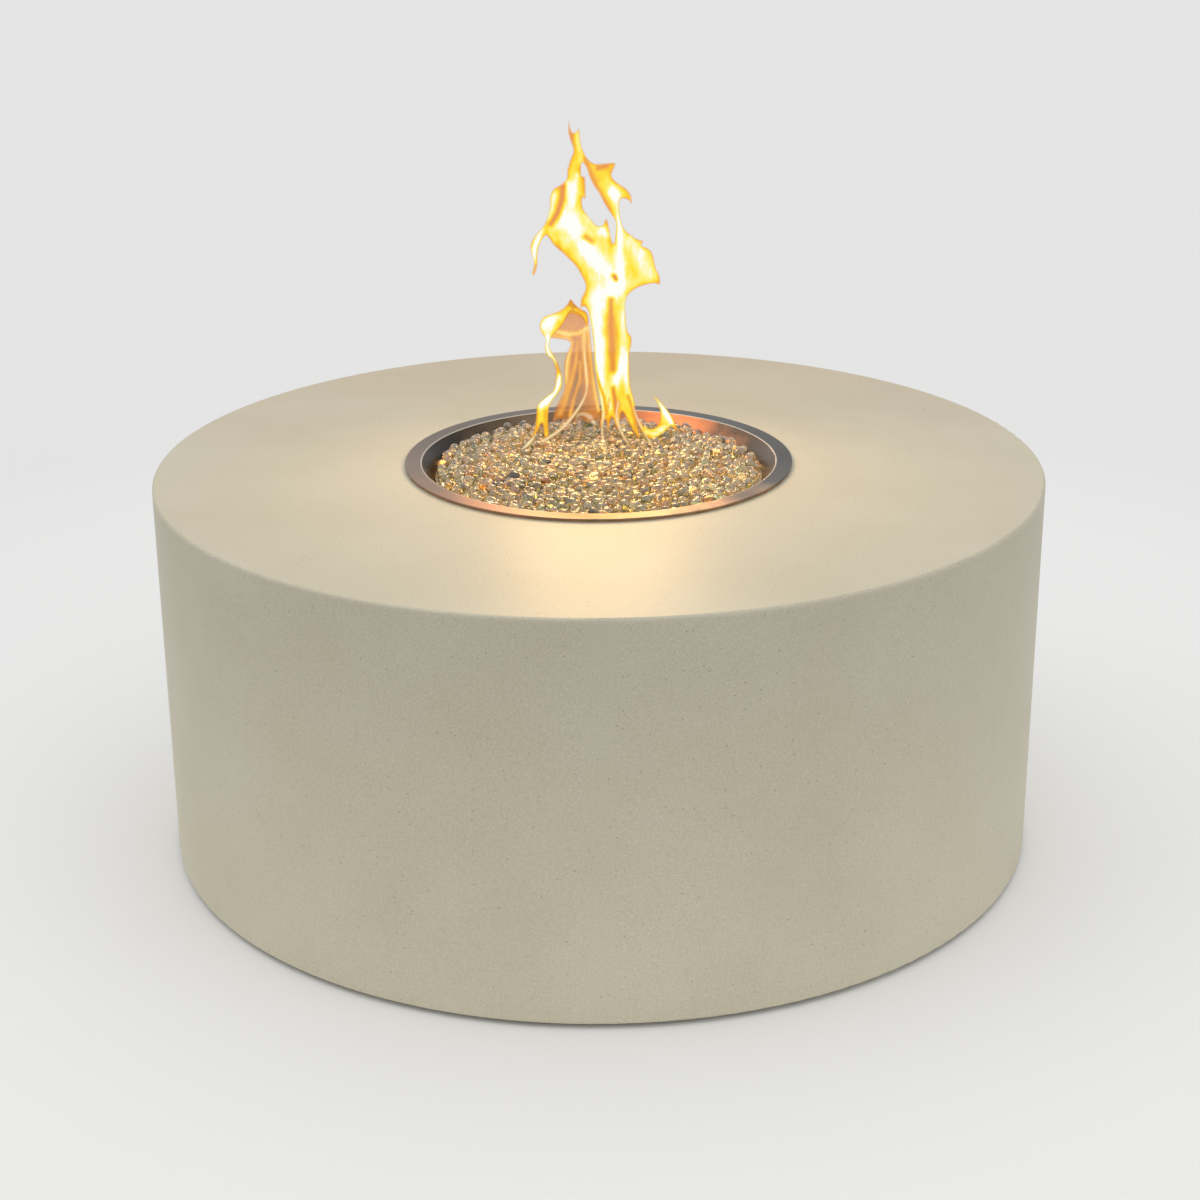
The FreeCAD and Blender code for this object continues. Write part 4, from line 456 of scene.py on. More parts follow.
def inside_by(points, curve):
    """How far each point lies inside a closed curve, less than nothing outside, and its nearest place.

    The nearest place is found on every side of the curve at once. A point is inside if a level
    line from it crosses the curve an odd number of times.
    """
    along = np.roll(curve, -1, 0) - curve
    offset = points[:, None] - curve
    share = np.clip((offset * along).sum(-1) / np.maximum((along * along).sum(-1), TINY), 0, 1)
    nearest = curve + share[..., None] * along
    gap = np.linalg.norm(points[:, None] - nearest, axis=2)
    best = gap.argmin(1)
    row = points[:, 1:2]
    straddles = (curve[:, 1] > row) != (curve[:, 1] + along[:, 1] > row)
    rise = np.where(np.abs(along[:, 1]) < TINY, TINY, along[:, 1])
    meets = curve[:, 0] + (row - curve[:, 1]) / rise * along[:, 0]
    odd = (straddles & (points[:, :1] < meets)).sum(1) % 2 == 1
    pick = np.arange(len(points))
    return np.where(odd, 1, -1) * gap[pick, best], nearest[pick, best]


def streak(points, stations):
    """One on a path and less aside from it: a bell curve of the distance over the half width there."""
    fall = 1.2
    path = np.asarray(stations, float)
    start, along = path[:-1], path[1:] - path[:-1]
    flat = along[:, :2]
    share = np.clip(((points[:, None] - start[:, :2]) * flat).sum(-1) / (flat * flat).sum(-1), 0, 1)
    nearest = start + share[..., None] * along
    gap = np.linalg.norm(points[:, None] - nearest[..., :2], axis=2) / nearest[..., 2]
    return np.exp(-fall * gap ** 2).max(1)


def tongue_grid(outlines, cell):
    """A square grid over an outline and its holes, cut to them, for the two sides of a lens.

    Points just outside are moved onto the edge, where the front and the back share them. It
    gives the points, their distance inside the edge, the faces, and the points that the front
    and the back use.
    """
    steps, least = 4, 0.05
    curves = [closed_curve(outline, steps) for outline in outlines]
    low, high = curves[0].min(0) - 2 * cell, curves[0].max(0) + 2 * cell
    columns, rows = (np.arange(low[k], high[k], cell) for k in (0, 1))
    grid = np.stack(np.meshgrid(columns, rows), -1)
    points = grid.reshape(-1, 2)
    depth, edge = inside_by(points, curves[0])
    for curve in curves[1:]:
        within, near = inside_by(points, curve)
        edge = np.where((-within < depth)[:, None], near, edge)
        depth = np.minimum(depth, -within)
    inside = (depth > 0).reshape(grid.shape[:2])
    cells = inside[:-1, :-1] | inside[1:, :-1] | inside[:-1, 1:] | inside[1:, 1:]
    around = np.zeros(inside.shape, int)
    for i in (0, 1):
        for j in (0, 1):
            around[i:i + cells.shape[0], j:j + cells.shape[1]] += cells
    around = around.reshape(-1)
    border = (around > 0) & (around < 4)
    used, inner = np.nonzero(around > 0)[0], np.nonzero(around == 4)[0]
    front = np.full(len(points), -1)
    front[used] = np.arange(len(used))
    back = front.copy()
    back[inner] = len(used) + np.arange(len(inner))
    points = np.where((border | (depth < 0))[:, None], edge, points)
    depth = np.where(border, 0, np.clip(depth, least, None))
    corner = np.arange(len(points)).reshape(inside.shape)
    quads = np.stack([corner[:-1, :-1], corner[1:, :-1], corner[1:, 1:], corner[:-1, 1:]], -1)[cells]
    return points, depth, np.vstack([front[quads], back[quads][:, ::-1]]), used, inner


def tongue(name, look, stage):
    """One tongue of flame: a closed lens over its outline in the picture.

    Each point's distance inside the edge gives the lens its thickness, quick at first and
    level in the middle. Two slow waves over the height push it forwards and back, and the
    shorter one slants. Its foot bends forwards over the top of the drops. Its warmth grows
    from the edge inwards, and streaks lead it to their own. Hot gas hides more, and gas that a
    streak has cooled hides less.
    """
    behind, warmth, hides, *outlines = TONGUES[name]
    points, depth, faces, used, inner = tongue_grid(outlines, look.cell)
    plain = warmth * (1 - np.exp(-depth / look.edge))
    heat = plain
    for leads_to, stations in STREAKS.get(name, []):
        share = streak(points, stations) * np.clip(depth / look.edge, 0, 1)
        heat = heat + (leads_to - heat) * share
    cooled = 1 - np.clip(heat / np.maximum(plain, 0.01), 0, 1)
    hides = (hides + (1 - hides) * look.hot_hides * np.clip(heat, 0, 1)) * (1 - look.cool_clears * cooled)
    cover = 1 - np.sqrt(1 - hides * np.clip(depth / look.fade, 0, 1))

    thick = look.thick / MM * (1 - np.exp(-depth / look.swell))
    column, row = points.T
    long, short, slanted = 31, 13, 17
    lean = np.sin(row / long + behind) + 0.5 * np.sin(row / short + column / slanted)
    middle = behind + look.sway / MM * lean
    crest = (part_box("glass_bed")[1].z + look.over_bed) / MM
    front, back = (np.column_stack([points, middle + k * thick, crest - k * thick / 2]) for k in (-1, 1))
    stations = np.vstack([front[used], back[inner]])
    pick = np.concatenate([used, inner])
    return from_picture(stations, stage), faces, heat[pick], cover[pick]


def tube_faces(rings, sides):
    """Quads between each ring of points and the next, and fans to a pole at each end."""
    ring = np.arange(rings - 1)[:, None] * sides
    side = np.arange(sides)
    after = (side + 1) % sides
    quads = np.stack([ring + side, ring + after, ring + sides + after, ring + sides + side], -1)
    pole = np.full(sides, rings * sides)
    last = (rings - 1) * sides
    nearer = np.stack([pole, after, side], -1)
    further = np.stack([pole + 1, last + side, last + after], -1)
    return quads.reshape(-1, 4), np.vstack([nearer, further])


def outward(vertices, faces):
    """Turns every face over if the closed shape holds less than nothing, so that faces point out."""
    volume = 0.0
    for group in faces:
        corners = vertices[group]
        for k in range(1, group.shape[1] - 1):
            volume += np.einsum("ij,ij->i", corners[:, 0], np.cross(corners[:, k], corners[:, k + 1])).sum()
    return faces if volume > 0 else [group[:, ::-1] for group in faces]


def add_piece(name, vertices, faces, material, node, values=None):
    """Makes a mesh piece that rides on the table and stands for the given node.

    The values are one number per point, kept under their names for the material.
    """
    mesh = bpy.data.meshes.new(name)
    mesh.from_pydata(vertices.tolist(), [], [face for group in faces for face in group.tolist()])
    mesh.shade_smooth()
    for label, numbers in (values or {}).items():
        mesh.attributes.new(label, "FLOAT", "POINT").data.foreach_set("value", numbers.astype(np.float32))
    mesh.materials.append(material)
    piece = bpy.data.objects.new(name, mesh)
    bpy.context.scene.collection.objects.link(piece)
    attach(piece, "table")
    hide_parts(node)
    return piece


def coiled_wire(look, ledge, outwards):
    """A coil spring: a circle carried along a helix, closed by a flat cap at each end.

    The helix turns about the outward axis at one radius and rises along it at a steady rate.
    The circle stands on the radius and on the direction square to both it and the helix.
    """
    rings, sides = 80, 10
    upright = np.array((0, 0, 1))
    level = np.cross(upright, outwards)
    turned = np.linspace(0, 2 * math.pi * look.turns, rings)
    cos, sin = np.cos(turned)[:, None], np.sin(turned)[:, None]
    spoke = cos * level + sin * upright
    climb = look.clear + look.wire / 2 + look.rise * np.linspace(0, 1, rings)
    line = ledge + climb[:, None] * outwards + look.radius * spoke
    heading = look.radius * (cos * upright - sin * level) + look.rise / (2 * math.pi * look.turns) * outwards
    heading /= np.linalg.norm(heading, axis=1)[:, None]
    square = np.cross(heading, spoke)
    about = np.linspace(0, 2 * math.pi, sides, endpoint=False)[:, None, None]
    circle = (np.cos(about) * spoke + np.sin(about) * square) * look.wire / 2
    vertices = np.vstack([(line + circle).transpose(1, 0, 2).reshape(-1, 3), line[[0, -1]]])
    return vertices, outward(vertices, list(tube_faces(rings, sides)))


def finish(material, *nodes):
    """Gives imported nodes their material, in place of the plain one they came with."""
    for name in nodes:
        mesh = frame["nodes"][name].data
        mesh.materials.clear()
        mesh.materials.append(material)


def camera_matrix(stage):
    """The camera's place and turn: level at first, then pitched down and rolled."""
    turn = Matrix.Rotation(math.pi / 2 - stage.pitch, 4, "X") @ Matrix.Rotation(stage.roll, 4, "Z")
    return Matrix.Translation(Vector(stage.camera_place)) @ turn


def from_picture(stations, stage):
    """Turns columns, rows, distances behind the table's middle and least heights into places.

    Each pixel is a ray from the camera. It stops at the upright plane of that distance, or
    at that height above the floor if it comes down to it first.
    """
    matrix = np.array(camera_matrix(stage))
    focus = stage.lens / SENSOR_MM * PICTURE_SIZE
    middle = PICTURE_SIZE / 2
    ahead = np.full(len(stations), -1.0)
    rays = np.stack([(stations[:, 0] - middle) / focus, (middle - stations[:, 1]) / focus, ahead], -1)
    rays = rays @ matrix[:3, :3].T
    upright = (stations[:, 2] * MM - matrix[1, 3]) / rays[:, 1]
    level = (stations[:, 3] * MM - matrix[2, 3]) / rays[:, 2]
    return matrix[:3, 3] + rays * np.minimum(upright, level)[:, None]


def spaced_points(count, reach, spacing, seed):
    """Evenly spread points in a disc.

    They start at random, evenly over the area. Over and over, each of a pair that is nearer
    than the spacing moves away by a part of what it lacks, and stays within the disc.
    """
    rounds, part = 60, 0.35
    random = np.random.default_rng(seed)
    angle = random.uniform(0, 2 * math.pi, count)
    radius = reach * np.sqrt(random.uniform(0, 1, count))
    points = np.stack([radius * np.cos(angle), radius * np.sin(angle)], -1)
    for _ in range(rounds):
        apart = points[:, None] - points[None]
        gap = np.linalg.norm(apart, axis=2) + np.eye(count)
        lack = np.clip(spacing - gap, 0, None) * (1 - np.eye(count))
        points += (apart / gap[..., None] * lack[..., None]).sum(1) * part
        points *= np.minimum(1, reach / np.maximum(np.linalg.norm(points, axis=1), TINY))[:, None]
    return points


def drop_shape(rings, sides):
    """A unit drop: a ball with its poles closed, from latitude and longitude."""
    latitude = np.linspace(0, math.pi, rings + 2)[1:-1, None]
    longitude = np.linspace(0, 2 * math.pi, sides, endpoint=False)
    x, y = np.sin(latitude) * np.cos(longitude), np.sin(latitude) * np.sin(longitude)
    z = np.broadcast_to(np.cos(latitude), x.shape)
    points = np.stack([x, y, z], -1).reshape(-1, 3)
    return np.vstack([points, [[0, 0, 1], [0, 0, -1]]]), tube_faces(rings, sides)


def turns(angles, axis):
    """The matrix for each angle that turns about one axis, from its cosine and sine."""
    first, second = (axis + 1) % 3, (axis + 2) % 3
    matrices = np.zeros((len(angles), 3, 3))
    matrices[:, axis, axis] = 1
    matrices[:, first, first] = matrices[:, second, second] = np.cos(angles)
    matrices[:, second, first] = np.sin(angles)
    matrices[:, first, second] = -np.sin(angles)
    return matrices


def scatter_drops(places, look, seed):
    """Flattened drops at the given places, each with its own size, lean and slight dents.

    A drop is the unit ball stretched to its three half sizes, turned about a random level
    axis by its lean and about the upright by any angle. Two slow waves over the ball swell
    and dent it, so that no two drops are alike.
    """
    slimmest, flattest, thickest = 0.82, 0.6, 0.85
    usual_lean = math.radians(28)
    random = np.random.default_rng(seed)
    count = len(places)
    ball, drop_faces = drop_shape(rings=5, sides=10)
    long = random.uniform(look.smallest, look.largest, count) / 2
    wide = long * random.uniform(slimmest, 1.0, count)
    sizes = np.stack([long, wide, long * random.uniform(flattest, thickest, count)], -1)
    phase = random.uniform(0, 2 * math.pi, (count, 1, 2))
    across, upwards = ball[:, 0] * 3, ball[:, 2] * 4
    dents = 1 + 0.07 * np.sin(across + phase[..., 0]) + 0.06 * np.sin(upwards + phase[..., 1])
    shaped = ball * dents[..., None] * sizes[:, None]
    lean = turns(random.normal(0, usual_lean, count), 0)
    after, before = (turns(angles, 2) for angles in random.uniform(0, 2 * math.pi, (2, count)))
    turned = np.einsum("nij,njk,nkl,nvl->nvi", after, lean, before, shaped)
    turned[:, :, 2] -= turned[:, :, 2].min(1)[:, None]
    vertices = (turned + places[:, None]).reshape(-1, 3)
    offsets = (np.arange(count) * len(ball))[:, None, None]
    faces = outward(ball, drop_faces)
    return vertices, [(group + offsets).reshape(-1, group.shape[1]) for group in faces]


def aim_lamp(lamp, target):
    """Turns a lamp towards a place."""
    lamp.rotation_euler = (Vector(target) - lamp.location).to_track_quat("-Z", "Y").to_euler()


def add_lamp(name, kind, place, energy, colour, **settings):
    """Adds a lamp, with the settings of its kind."""
    data = bpy.data.lights.new(name, kind)
    data.energy = energy
    data.color = colour[:3]
    for key, value in settings.items():
        setattr(data, key, value)
    lamp = bpy.data.objects.new(name, data)
    lamp.location = place
    bpy.context.scene.collection.objects.link(lamp)
    return lamp


def number(name, description, default, unit="NONE"):
    """A plain number for the sidebar, or one with a unit."""
    return FloatProperty(name=name, description=description, default=default, unit=unit)


def length(name, description, default):
    """A length for the sidebar, in metres."""
    return number(name, description, default, "LENGTH")


def tint(name, description, colour):
    """A colour for the sidebar, given as sRGB hex."""
    return FloatVectorProperty(name=name, description=description, default=linear(colour), size=4,
                               subtype="COLOR", min=0, max=1)


class FirePitStage(bpy.types.PropertyGroup):
    """Camera, floor and light."""
    lens: number("Lens", "Focal length on a 36 mm sensor", 68.535, "CAMERA")
    camera_place: FloatVectorProperty(name="Camera place", description="Where the camera stands",
                                      default=(0.0005, -2.7363, 1.3265), subtype="TRANSLATION", unit="LENGTH")
    pitch: number("Pitch", "How far the camera looks down", 0.3595, "ROTATION")
    roll: number("Roll", "How far the camera is rolled", -0.0071, "ROTATION")
    backdrop: tint("Backdrop", "Colour behind the table", "#E5E5E5")
    # Painted light: the floor round the table is paler, a pool of light.
    floor_painted_light: tint("Floor near", "Floor colour round the table", "#EBEBEB")
    floor_far: tint("Floor far", "Floor colour far away", "#DFDFDF")
    sky: number("Sky", "Strength of the soft light from all round", 0.66)
    sun: number("Overhead light", "Strength of the wide light from above", 1.02)
    side: number("Side light", "Strength of the wide lights from the sides", 0.52)
    fire_round: number("Fire light", "Flame's light all round", 1.3, "POWER")
    fire_forward: number("Fire light forwards", "Flame's light over the front, where it leans", 1.55, "POWER")
    fire_colour: tint("Fire colour", "Colour of the flame's own light", "#FFCC88")


class FirePitConcrete(bpy.types.PropertyGroup):
    """Colours and grain of the cast body."""
    light: tint("Light", "Colour of the paler clouds", "#C6C1AD")
    dark: tint("Dark", "Colour of the darker clouds", "#C0BAA4")
    grain_light: tint("Light grains", "Pale sand grains", "#FFFFFF")
    grain_dark: tint("Dark grains", "Dark sand grains", "#E6E4DE")
    # Painted shade in the air pits.
    pit: tint("Pits", "Colour in the air pits", "#6F6A58")
    # Painted shade: a warm darkening over the back of the top.
    painted_back_shade: tint("Smoke", "Stain of smoke on the back of the top", "#FFF3ED")
    rough: number("Roughness", "Roughness of the sealed skin", 0.5)
    # Painted shade on the wall: darker under its top edge, paler at its foot.
    painted_shade_high: number("Tone high", "Tone of the wall under its top edge", 0.87)
    painted_shade_low: number("Tone low", "Tone of the wall at its foot, bleached", 1.1)
    grain: length("Grain size", "Size of the sand grains as drawn", 0.0022)
    pit_spacing: length("Pit spacing", "Distance between pits", 0.009)


class FirePitPan(bpy.types.PropertyGroup):
    """Painted reflections on the burner pan, each list going round from the left by way of the front."""
    # Painted reflections of the fire and its surroundings, on the lip and on the wall.
    lip_painted_reflections: StringProperty(
        name="Lip tints", description="Heat tints of the lip",
        default="#8C7A6C, #9A7F6C, #B08670, #817B68, #CDA683, #635F5B, #4C4B48, #4D4C49, #585753,"
                " #6E6862, #6A6159, #766759, #8C7A6C")
    wall_painted_reflections: StringProperty(
        name="Wall tints", description="Heat tints of the sloping wall",
        default="#38322D, #5B5148, #8A7A6C, #A08A74, #A08A74, #8B8079, #6F6761, #5E544F, #B4765A,"
                " #86604F, #323130, #292827, #38322D")
    smear: tint("Smears", "Pale wiped marks", "#8F8780")
    ring: tint("Rings", "Tool rings", "#5D5854")
    # Painted highlight along the lip's inner bend.
    bend_painted_highlight: tint("Bend colour", "Rubbed metal at the lip's inner bend", "#D9D3C8")
    bend: length("Bend", "Radius of the lip's inner bend", 0.2206)


class FirePitGlass(bpy.types.PropertyGroup):
    """Count, size and tints of the glass drops."""
    lower_count: IntProperty(name="Lower drops", description="Drops in the lower layer", default=720)
    upper_count: IntProperty(name="Upper drops", description="Drops in the upper layer", default=400)
    lower_spacing: length("Lower spacing", "Between the lower drops", 0.0138)
    upper_spacing: length("Upper spacing", "Between the upper drops", 0.016)
    smallest: length("Smallest", "Smallest drop", 0.012)
    largest: length("Largest", "Largest drop", 0.017)
    clear: tint("Clear", "Tint of the clear drops", "#FCF3D4")
    amber: tint("Amber", "Tint of the amber drops", "#FFE6B6")
    olive: tint("Olive", "Tint of the olive drops", "#DADAB0")
    # Painted shade: dark drops where the heap has dark gaps.
    shade_drop_tint: tint("Soot", "Tint of the few sooted drops", "#5A4122")
    clear_share: number("Clear share", "Share of clear drops", 0.62)
    amber_share: number("Amber share", "Share of amber drops", 0.23)
    shade_drop_share: number("Sooted share", "Share of sooted drops in their place", 0.55)
    shade_drop_place: FloatVectorProperty(name="Sooted place", description="Middle of the sooted drops", size=2,
                                    default=(-0.112, -0.082), subtype="TRANSLATION", unit="LENGTH")
    shade_drop_reach: length("Sooted reach", "Reach of the sooted drops", 0.023)
    # Painted light in the middle of each lower drop, and painted shade in the gaps between them.
    heap_painted_light: tint("Heap light", "Lit glass under the drops", "#FFF0CC")
    heap_painted_shade: tint("Heap dark", "Gaps under the drops", "#9E8552")


class FirePitFlame(bpy.types.PropertyGroup):
    """Form of the flame. Lengths without a unit are in pixels of the picture."""
    cell: number("Cell", "Spacing of the grid", 1.25)
    edge: number("Edge", "How far in from its edge a tongue heats up", 2.4)
    fade: number("Fade", "How far in from its edge a tongue is clear", 1.7)
    swell: number("Swell", "How far in a tongue thickens", 9.0)
    thick: length("Thickness", "Half thickness of a tongue", 0.013)
    sway: length("Sway", "How far the tongues lean to and fro", 0.006)
    over_bed: length("Over bed", "How high its foot creeps over the bed", 0.014)
    hot_hides: number("Hot hides", "How much more the hottest gas hides", 1.0)
    cool_clears: number("Cool clears", "How much less cooled gas hides", 0.1)


class FirePitSpring(bpy.types.PropertyGroup):
    """Sizes of the igniter's button spring, and the ledge that it stands on."""
    ledge: length("Ledge", "From the table's axis to the ledge", 0.54135)
    clear: length("Clearance", "Between spring and ledge", 0.0001)
    wire: length("Wire", "Thickness of the wire", 0.0009)
    radius: length("Radius", "From the spring's axis to the wire's", 0.00885)
    rise: length("Rise", "Rise of the wire over all its turns", 0.00495)
    turns: number("Turns", "Number of turns", 2.5)


class FIREPIT_OT_stage(bpy.types.Operator):
    """Floor, backdrop, soft light and the camera."""
    bl_idname = "firepit.stage"
    bl_label = "Stage"

    def execute(self, context):
        look = context.scene.firepit_stage
        camera = bpy.data.objects.new("camera", bpy.data.cameras.new("camera"))
        camera.data.lens = look.lens
        camera.data.sensor_width = SENSOR_MM
        camera.matrix_world = camera_matrix(look)
        context.scene.collection.objects.link(camera)
        context.scene.camera = camera
        self.world(context, look)
        self.floor(context, look)
        self.lamps(look)
        context.scene.view_settings.view_transform = "Standard"
        return {"FINISHED"}

    def lamps(self, look):
        """A wide light above, one at each side, and the fire's own light, all round and forwards."""
        above, left, right, table = (0, -1, 4), (-3.4, -0.7, 0.9), (2.7, -1.9, 0.9), (0, 0, 0.3)
        fire, fire_front, table_front = (0, 0.105, 0.72), (0, 0.1, 0.72), (0.01, -0.44, 0.48)
        add_lamp("overhead", "SUN", above, look.sun, linear("#FFFFFF"), angle=math.radians(100))
        for place in (left, right):
            lamp = add_lamp("side_softbox", "SUN", place, look.side, linear("#FFFDF8"),
                            angle=math.radians(60))
            aim_lamp(lamp, table)
        add_lamp("fire_glow", "POINT", fire, look.fire_round, look.fire_colour, shadow_soft_size=0.1)
        lamp = add_lamp("fire_glow_forward", "AREA", fire_front, look.fire_forward, look.fire_colour,
                        shape="DISK", size=0.24)
        aim_lamp(lamp, table_front)

    def world(self, context, look):
        """The backdrop's colour where it is seen, and even soft light for all else."""
        world = bpy.data.worlds.new("studio")
        context.scene.world = world
        world.use_nodes = True
        world.node_tree.nodes.clear()
        add = partial(add_node, world.node_tree)
        ray = add("LightPath")
        seen = add("Math", [ray["Is Camera Ray"], ray["Is Glossy Ray"]], operation="MAXIMUM")[0]
        shown = add("Math", [seen, ray["Is Transmission Ray"]], operation="MAXIMUM")[0]
        light = add("Background", {"Color": "#FFFFFF", "Strength": look.sky})[0]
        back = add("Background", {"Color": look.backdrop, "Strength": 1.0})[0]
        add("OutputWorld", [add("MixShader", [shown, light, back])[0]])

    def floor(self, context, look):
        """A wide flat disc just under the feet, in matt pale paint, with a painted pool of light round the
        table that fades away from it.
        """
        reach, drop, sides = 40, 0.0005, 96
        angle = np.linspace(0, 2 * math.pi, sides, endpoint=False)
        rim = np.stack([reach * np.cos(angle), reach * np.sin(angle), np.full(sides, -drop)], -1)
        mesh = bpy.data.meshes.new("floor")
        mesh.from_pydata(rim.tolist(), [], [list(range(sides))])
        floor = bpy.data.objects.new("floor", mesh)
        context.scene.collection.objects.link(floor)
        material, add, place = new_material("pale_studio_floor")
        away = distance_from_axis(add, place)
        painted = shade(add, away, 0.7, 1.9, 0, 1, look.floor_painted_light, look.floor_far)
        add("OutputMaterial", [add("BsdfDiffuse", [painted])[0]])
        mesh.materials.append(material)


class FIREPIT_OT_body(bpy.types.Operator):
    """The cast concrete body with its feet."""
    bl_idname = "firepit.body"
    bl_label = "Concrete body"

    def execute(self, context):
        finish(cast_concrete(context.scene.firepit_concrete), "table_shell")
        # Matt black, with the fine grain of its mould.
        finish(moulded("moulded_black_rubber", "#1B1B1B", "#2A2928", 0.75, 0.8, 0.1), "foot_pads")
        return {"FINISHED"}


class FIREPIT_OT_pan(bpy.types.Operator):
    """The burner pan on its gasket."""
    bl_idname = "firepit.pan"
    bl_label = "Burner pan"

    def execute(self, context):
        finish(pan_steel(context.scene.firepit_pan), "burner_pan")
        # Dull tan sealing strip, pressed and browned unevenly.
        finish(moulded("tan_sealing_strip", "#9C7B58", "#7C5B3C", 0.8, 6.0, 0.8), "pan_gasket")
        return {"FINISHED"}


class FIREPIT_OT_glass(bpy.types.Operator):
    """The heap of glass drops, in two uneven layers over the bed, whose crown is part of a ball."""
    bl_idname = "firepit.glass"
    bl_label = "Glass drops"

    def execute(self, context):
        look = context.scene.firepit_glass
        finish(glass_below(look), "glass_bed")
        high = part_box("glass_bed")[1]
        crown, margin, uneven = 12 * MM, 8.2 * MM, 2 * MM
        lower_lift, upper_lift = 0.3 * MM, 5.6 * MM
        ball = (high.x ** 2 + crown ** 2) / (2 * crown)
        layers = []
        for count, spacing, lift, seed in (
            (look.lower_count, look.lower_spacing, lower_lift, LOWER_SEED),
            (look.upper_count, look.upper_spacing, upper_lift, UPPER_SEED),
        ):
            flat = spaced_points(count, high.x - margin, spacing, seed)
            top = high.z - ball + np.sqrt(ball ** 2 - (flat ** 2).sum(1))
            jitter = np.random.default_rng(seed).uniform(0, uneven, count)
            layers.append(np.column_stack([flat, top + lift + jitter]))
        places = np.vstack(layers)

        draw = np.random.default_rng(KIND_SEED).uniform(0, 1, len(places))
        # Painted shade: a few dark drops in one place stand for the dark gaps of the heap there.
        near_shade_drops = np.linalg.norm(places[:, :2] - np.array(look.shade_drop_place), axis=1) < look.shade_drop_reach
        limits = [look.clear_share, look.clear_share + look.amber_share]
        kind = np.where(near_shade_drops & (draw < look.shade_drop_share), 3, np.searchsorted(limits, draw, side="right"))
        kinds = (
            ("clear", look.clear, "#F0E5C0"),
            ("amber", look.amber, "#F1CC90"),
            ("olive", look.olive, "#B9BA90"),
            ("painted_shade", look.shade_drop_tint, "#241B12"),
        )
        for k, (name, colour, deep) in enumerate(kinds):
            vertices, faces = scatter_drops(places[kind == k], look, SHAPE_SEED + k)
            material = fire_glass(name + "_soda_lime_glass", colour, deep)
            add_piece(name + "_drops", vertices, faces, material, "glass_drops")
        return {"FINISHED"}


class FIREPIT_OT_flame(bpy.types.Operator):
    """The lit flame over the ring burner."""
    bl_idname = "firepit.flame"
    bl_label = "Flame"

    def execute(self, context):
        look, stage = context.scene.firepit_flame, context.scene.firepit_stage
        low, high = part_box("flame")
        for name, (names, stops) in FLAME_PIECES.items():
            shapes = [tongue(each, look, stage) for each in names]
            starts = np.cumsum([0] + [len(shape[0]) for shape in shapes])
            vertices = np.vstack([shape[0] for shape in shapes])
            vertices[:, 2] = np.minimum(vertices[:, 2], high.z)
            faces = np.vstack([outward(points, [quads])[0] + start
                               for (points, quads, *_), start in zip(shapes, starts)])
            warmth, cover = (np.concatenate([shape[k] for shape in shapes]) for k in (2, 3))
            material = burning_gas("burning_gas_" + name, stops)
            piece = add_piece("flame_" + name, vertices, [faces], material, "flame",
                              {"warmth": warmth, "cover": cover})
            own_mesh(piece)
        return {"FINISHED"}


class FIREPIT_OT_spring(bpy.types.Operator):
    """The coiled spring behind the igniter's button."""
    bl_idname = "firepit.spring"
    bl_label = "Button spring"

    def execute(self, context):
        look = context.scene.firepit_spring
        press = next(joint for joint in frame["joints"] if joint["name"] == "button_press")
        outwards = np.array(press["axis"])
        height = sum(corner.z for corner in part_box("button_spring")) / 2
        ledge = look.ledge * outwards + (0, 0, height)
        vertices, faces = coiled_wire(look, ledge, outwards)
        # Hard-drawn wire: grey, with the faint gloss that the die leaves.
        wire = metal("hard_drawn_spring_steel", "#B7B5B0", "#98938B", 0.3, 1.0)
        piece = add_piece("coiled_button_spring", vertices, faces, wire, "button_spring")
        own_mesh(piece)
        return {"FINISHED"}


class FIREPIT_OT_fittings(bpy.types.Operator):
    """Burner, valve, igniter, gas line, door and vents."""
    bl_idname = "firepit.fittings"
    bl_label = "Fittings"

    def execute(self, context):
        for make, name, colour, worn, roughness, grain_mm, extra, nodes in FINISHES:
            finish(make(name, colour, worn, roughness, grain_mm, **extra), *nodes.split())
        return {"FINISHED"}


class FIREPIT_PT_panel(bpy.types.Panel):
    """Lists the table's pieces."""
    bl_idname = "FIREPIT_PT_panel"
    bl_label = "Gas fire pit table"
    bl_space_type = "VIEW_3D"
    bl_region_type = "UI"
    bl_category = "Fire pit"

    def draw(self, context):
        for operator in OPERATORS:
            self.layout.operator(operator.bl_idname)


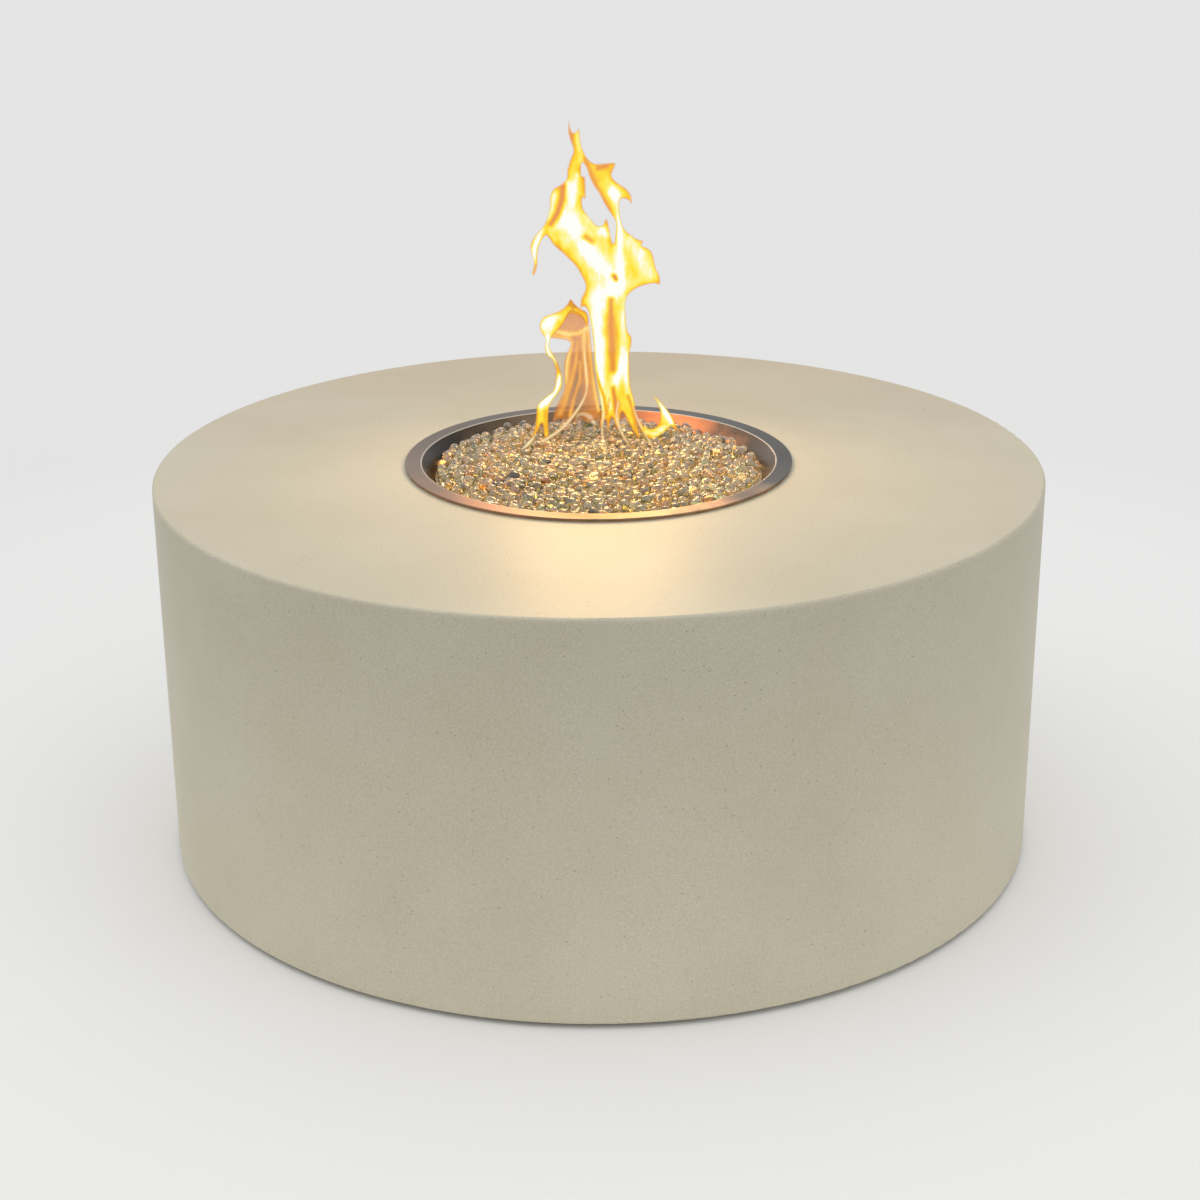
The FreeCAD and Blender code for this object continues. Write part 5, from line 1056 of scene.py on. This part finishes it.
# Finishes of the fittings: how each is made, its name, colour and worn colour, its roughness, the
# size of its grain in millimetres, what else differs, and the nodes that have it.
FINISHES = (
    # Cold-rolled sheet, brushed level: fine lines that draw the highlights out.
    (metal, "brushed_stainless_sheet", "#C3C1BD", "#B9B7B2", 0.3, 1.6, {"stretch": (0.02, 0.02, 1.0)},
     "door_frame door_panel vent_grille_right vent_grille_left hinge_leaves_frame hinge_leaves_door"
     " electrode_bracket"),
    # Welded tube, dulled and browned by the fire.
    (metal, "stainless_burner_tube", "#A9A49D", "#8A7F76", 0.35, 2.0, {},
     "burner_ring_outer burner_ring_inner burner_hub burner_spokes electrode_rod"),
    # Bright zinc plating: bluish, with a soft gloss.
    (metal, "bright_zinc_plated_steel", "#B9BDC2", "#9FA3A6", 0.32, 1.5, {},
     "foot_screws burner_nipple nipple_locknuts nipple_washer igniter_terminal pull_screw catch_striker"),
    # Turned and polished: small sharp highlights.
    (metal, "polished_stainless_fastener", "#CFCDC9", "#B5B3AE", 0.22, 1.5, {},
     "wall_screws door_rivets hinge_pins door_pull bracket_screws bracket_nuts"),
    # Machined brass: yellow, with fine tool marks, browner where it is handled.
    (metal, "machined_brass", "#D2AE6A", "#B08C4C", 0.28, 1.2, {},
     "foot_inserts gas_jet valve_body valve_stem packing_nut valve_locknut valve_adapters inlet_bulkhead"
     " inlet_locknut hose_nuts"),
    # Cast aluminium: dull, with the sand's grain in its skin.
    (metal, "cast_aluminium", "#A7A8AA", "#8E8F91", 0.5, 2.0, {"depth_mm": 0.15}, "air_mixer"),
    # Polished chrome plate: nearly a mirror.
    (metal, "polished_chrome_plate", "#D9DADC", "#CFD0D3", 0.08, 4.0, {},
     "valve_escutcheon valve_key valve_ball"),
    # Thin stainless hose: bright, with marks of its forming.
    (metal, "corrugated_stainless_hose", "#BDBBB6", "#A4A29D", 0.3, 2.0, {}, "supply_hose burner_hose"),
    # Skived fluoropolymer: white and waxy.
    (moulded, "white_ptfe", "#E9E7E1", "#DAD7CF", 0.45, 2.0, {"depth_mm": 0.02}, "valve_seats valve_packing"),
    # Moulded nylon: black, with a satin skin.
    (moulded, "black_moulded_nylon", "#151516", "#232325", 0.42, 0.8, {"depth_mm": 0.03},
     "igniter_housing igniter_locknut catch_body"),
    # Moulded in a polished tool: black and glossy.
    (moulded, "black_gloss_abs", "#0D0D0E", "#1A1A1C", 0.2, 1.5, {"depth_mm": 0.01}, "igniter_button"),
    # Grey nylon plugs: matt.
    (moulded, "grey_nylon_plug", "#6C7074", "#5D6165", 0.6, 1.0, {"depth_mm": 0.05}, "wall_plugs"),
    # Lacquered jacket of a small cell: gold, with a soft sheen.
    (metal, "cell_jacket_steel", "#B7A25A", "#8F7E46", 0.3, 3.0, {}, "igniter_battery"),
    # Glazed alumina: white, glassy and hard.
    (moulded, "glazed_white_alumina", "#EFEBE0", "#DDD6C4", 0.12, 3.0, {"depth_mm": 0.02, "ior": 1.6},
     "electrode_insulator"),
    # Extruded silicone: deep red, soft and a little waxy.
    (moulded, "red_silicone_sleeve", "#9B2C1E", "#7E2116", 0.55, 1.2, {"depth_mm": 0.04}, "spark_lead"),
    # Sintered ferrite: dark grey and chalky.
    (moulded, "sintered_ferrite", "#2B2B2E", "#3A3A3D", 0.7, 0.8, {"depth_mm": 0.05}, "catch_magnet"),
)
GROUPS = {
    "firepit_stage": FirePitStage,
    "firepit_concrete": FirePitConcrete,
    "firepit_pan": FirePitPan,
    "firepit_glass": FirePitGlass,
    "firepit_flame": FirePitFlame,
    "firepit_spring": FirePitSpring,
}
OPERATORS = (
    FIREPIT_OT_stage,
    FIREPIT_OT_body,
    FIREPIT_OT_pan,
    FIREPIT_OT_glass,
    FIREPIT_OT_flame,
    FIREPIT_OT_spring,
    FIREPIT_OT_fittings,
)


def register():
    for group in (*GROUPS.values(), *OPERATORS, FIREPIT_PT_panel):
        bpy.utils.register_class(group)
    for name, group in GROUPS.items():
        setattr(bpy.types.Scene, name, PointerProperty(type=group))


def unregister():
    for name in GROUPS:
        delattr(bpy.types.Scene, name)
    for group in (FIREPIT_PT_panel, *reversed(OPERATORS), *GROUPS.values()):
        bpy.utils.unregister_class(group)


def main():
    register()
    for operator in OPERATORS:
        group, name = operator.bl_idname.split(".")
        getattr(getattr(bpy.ops, group), name)()


if __name__ == "__main__":
    main()
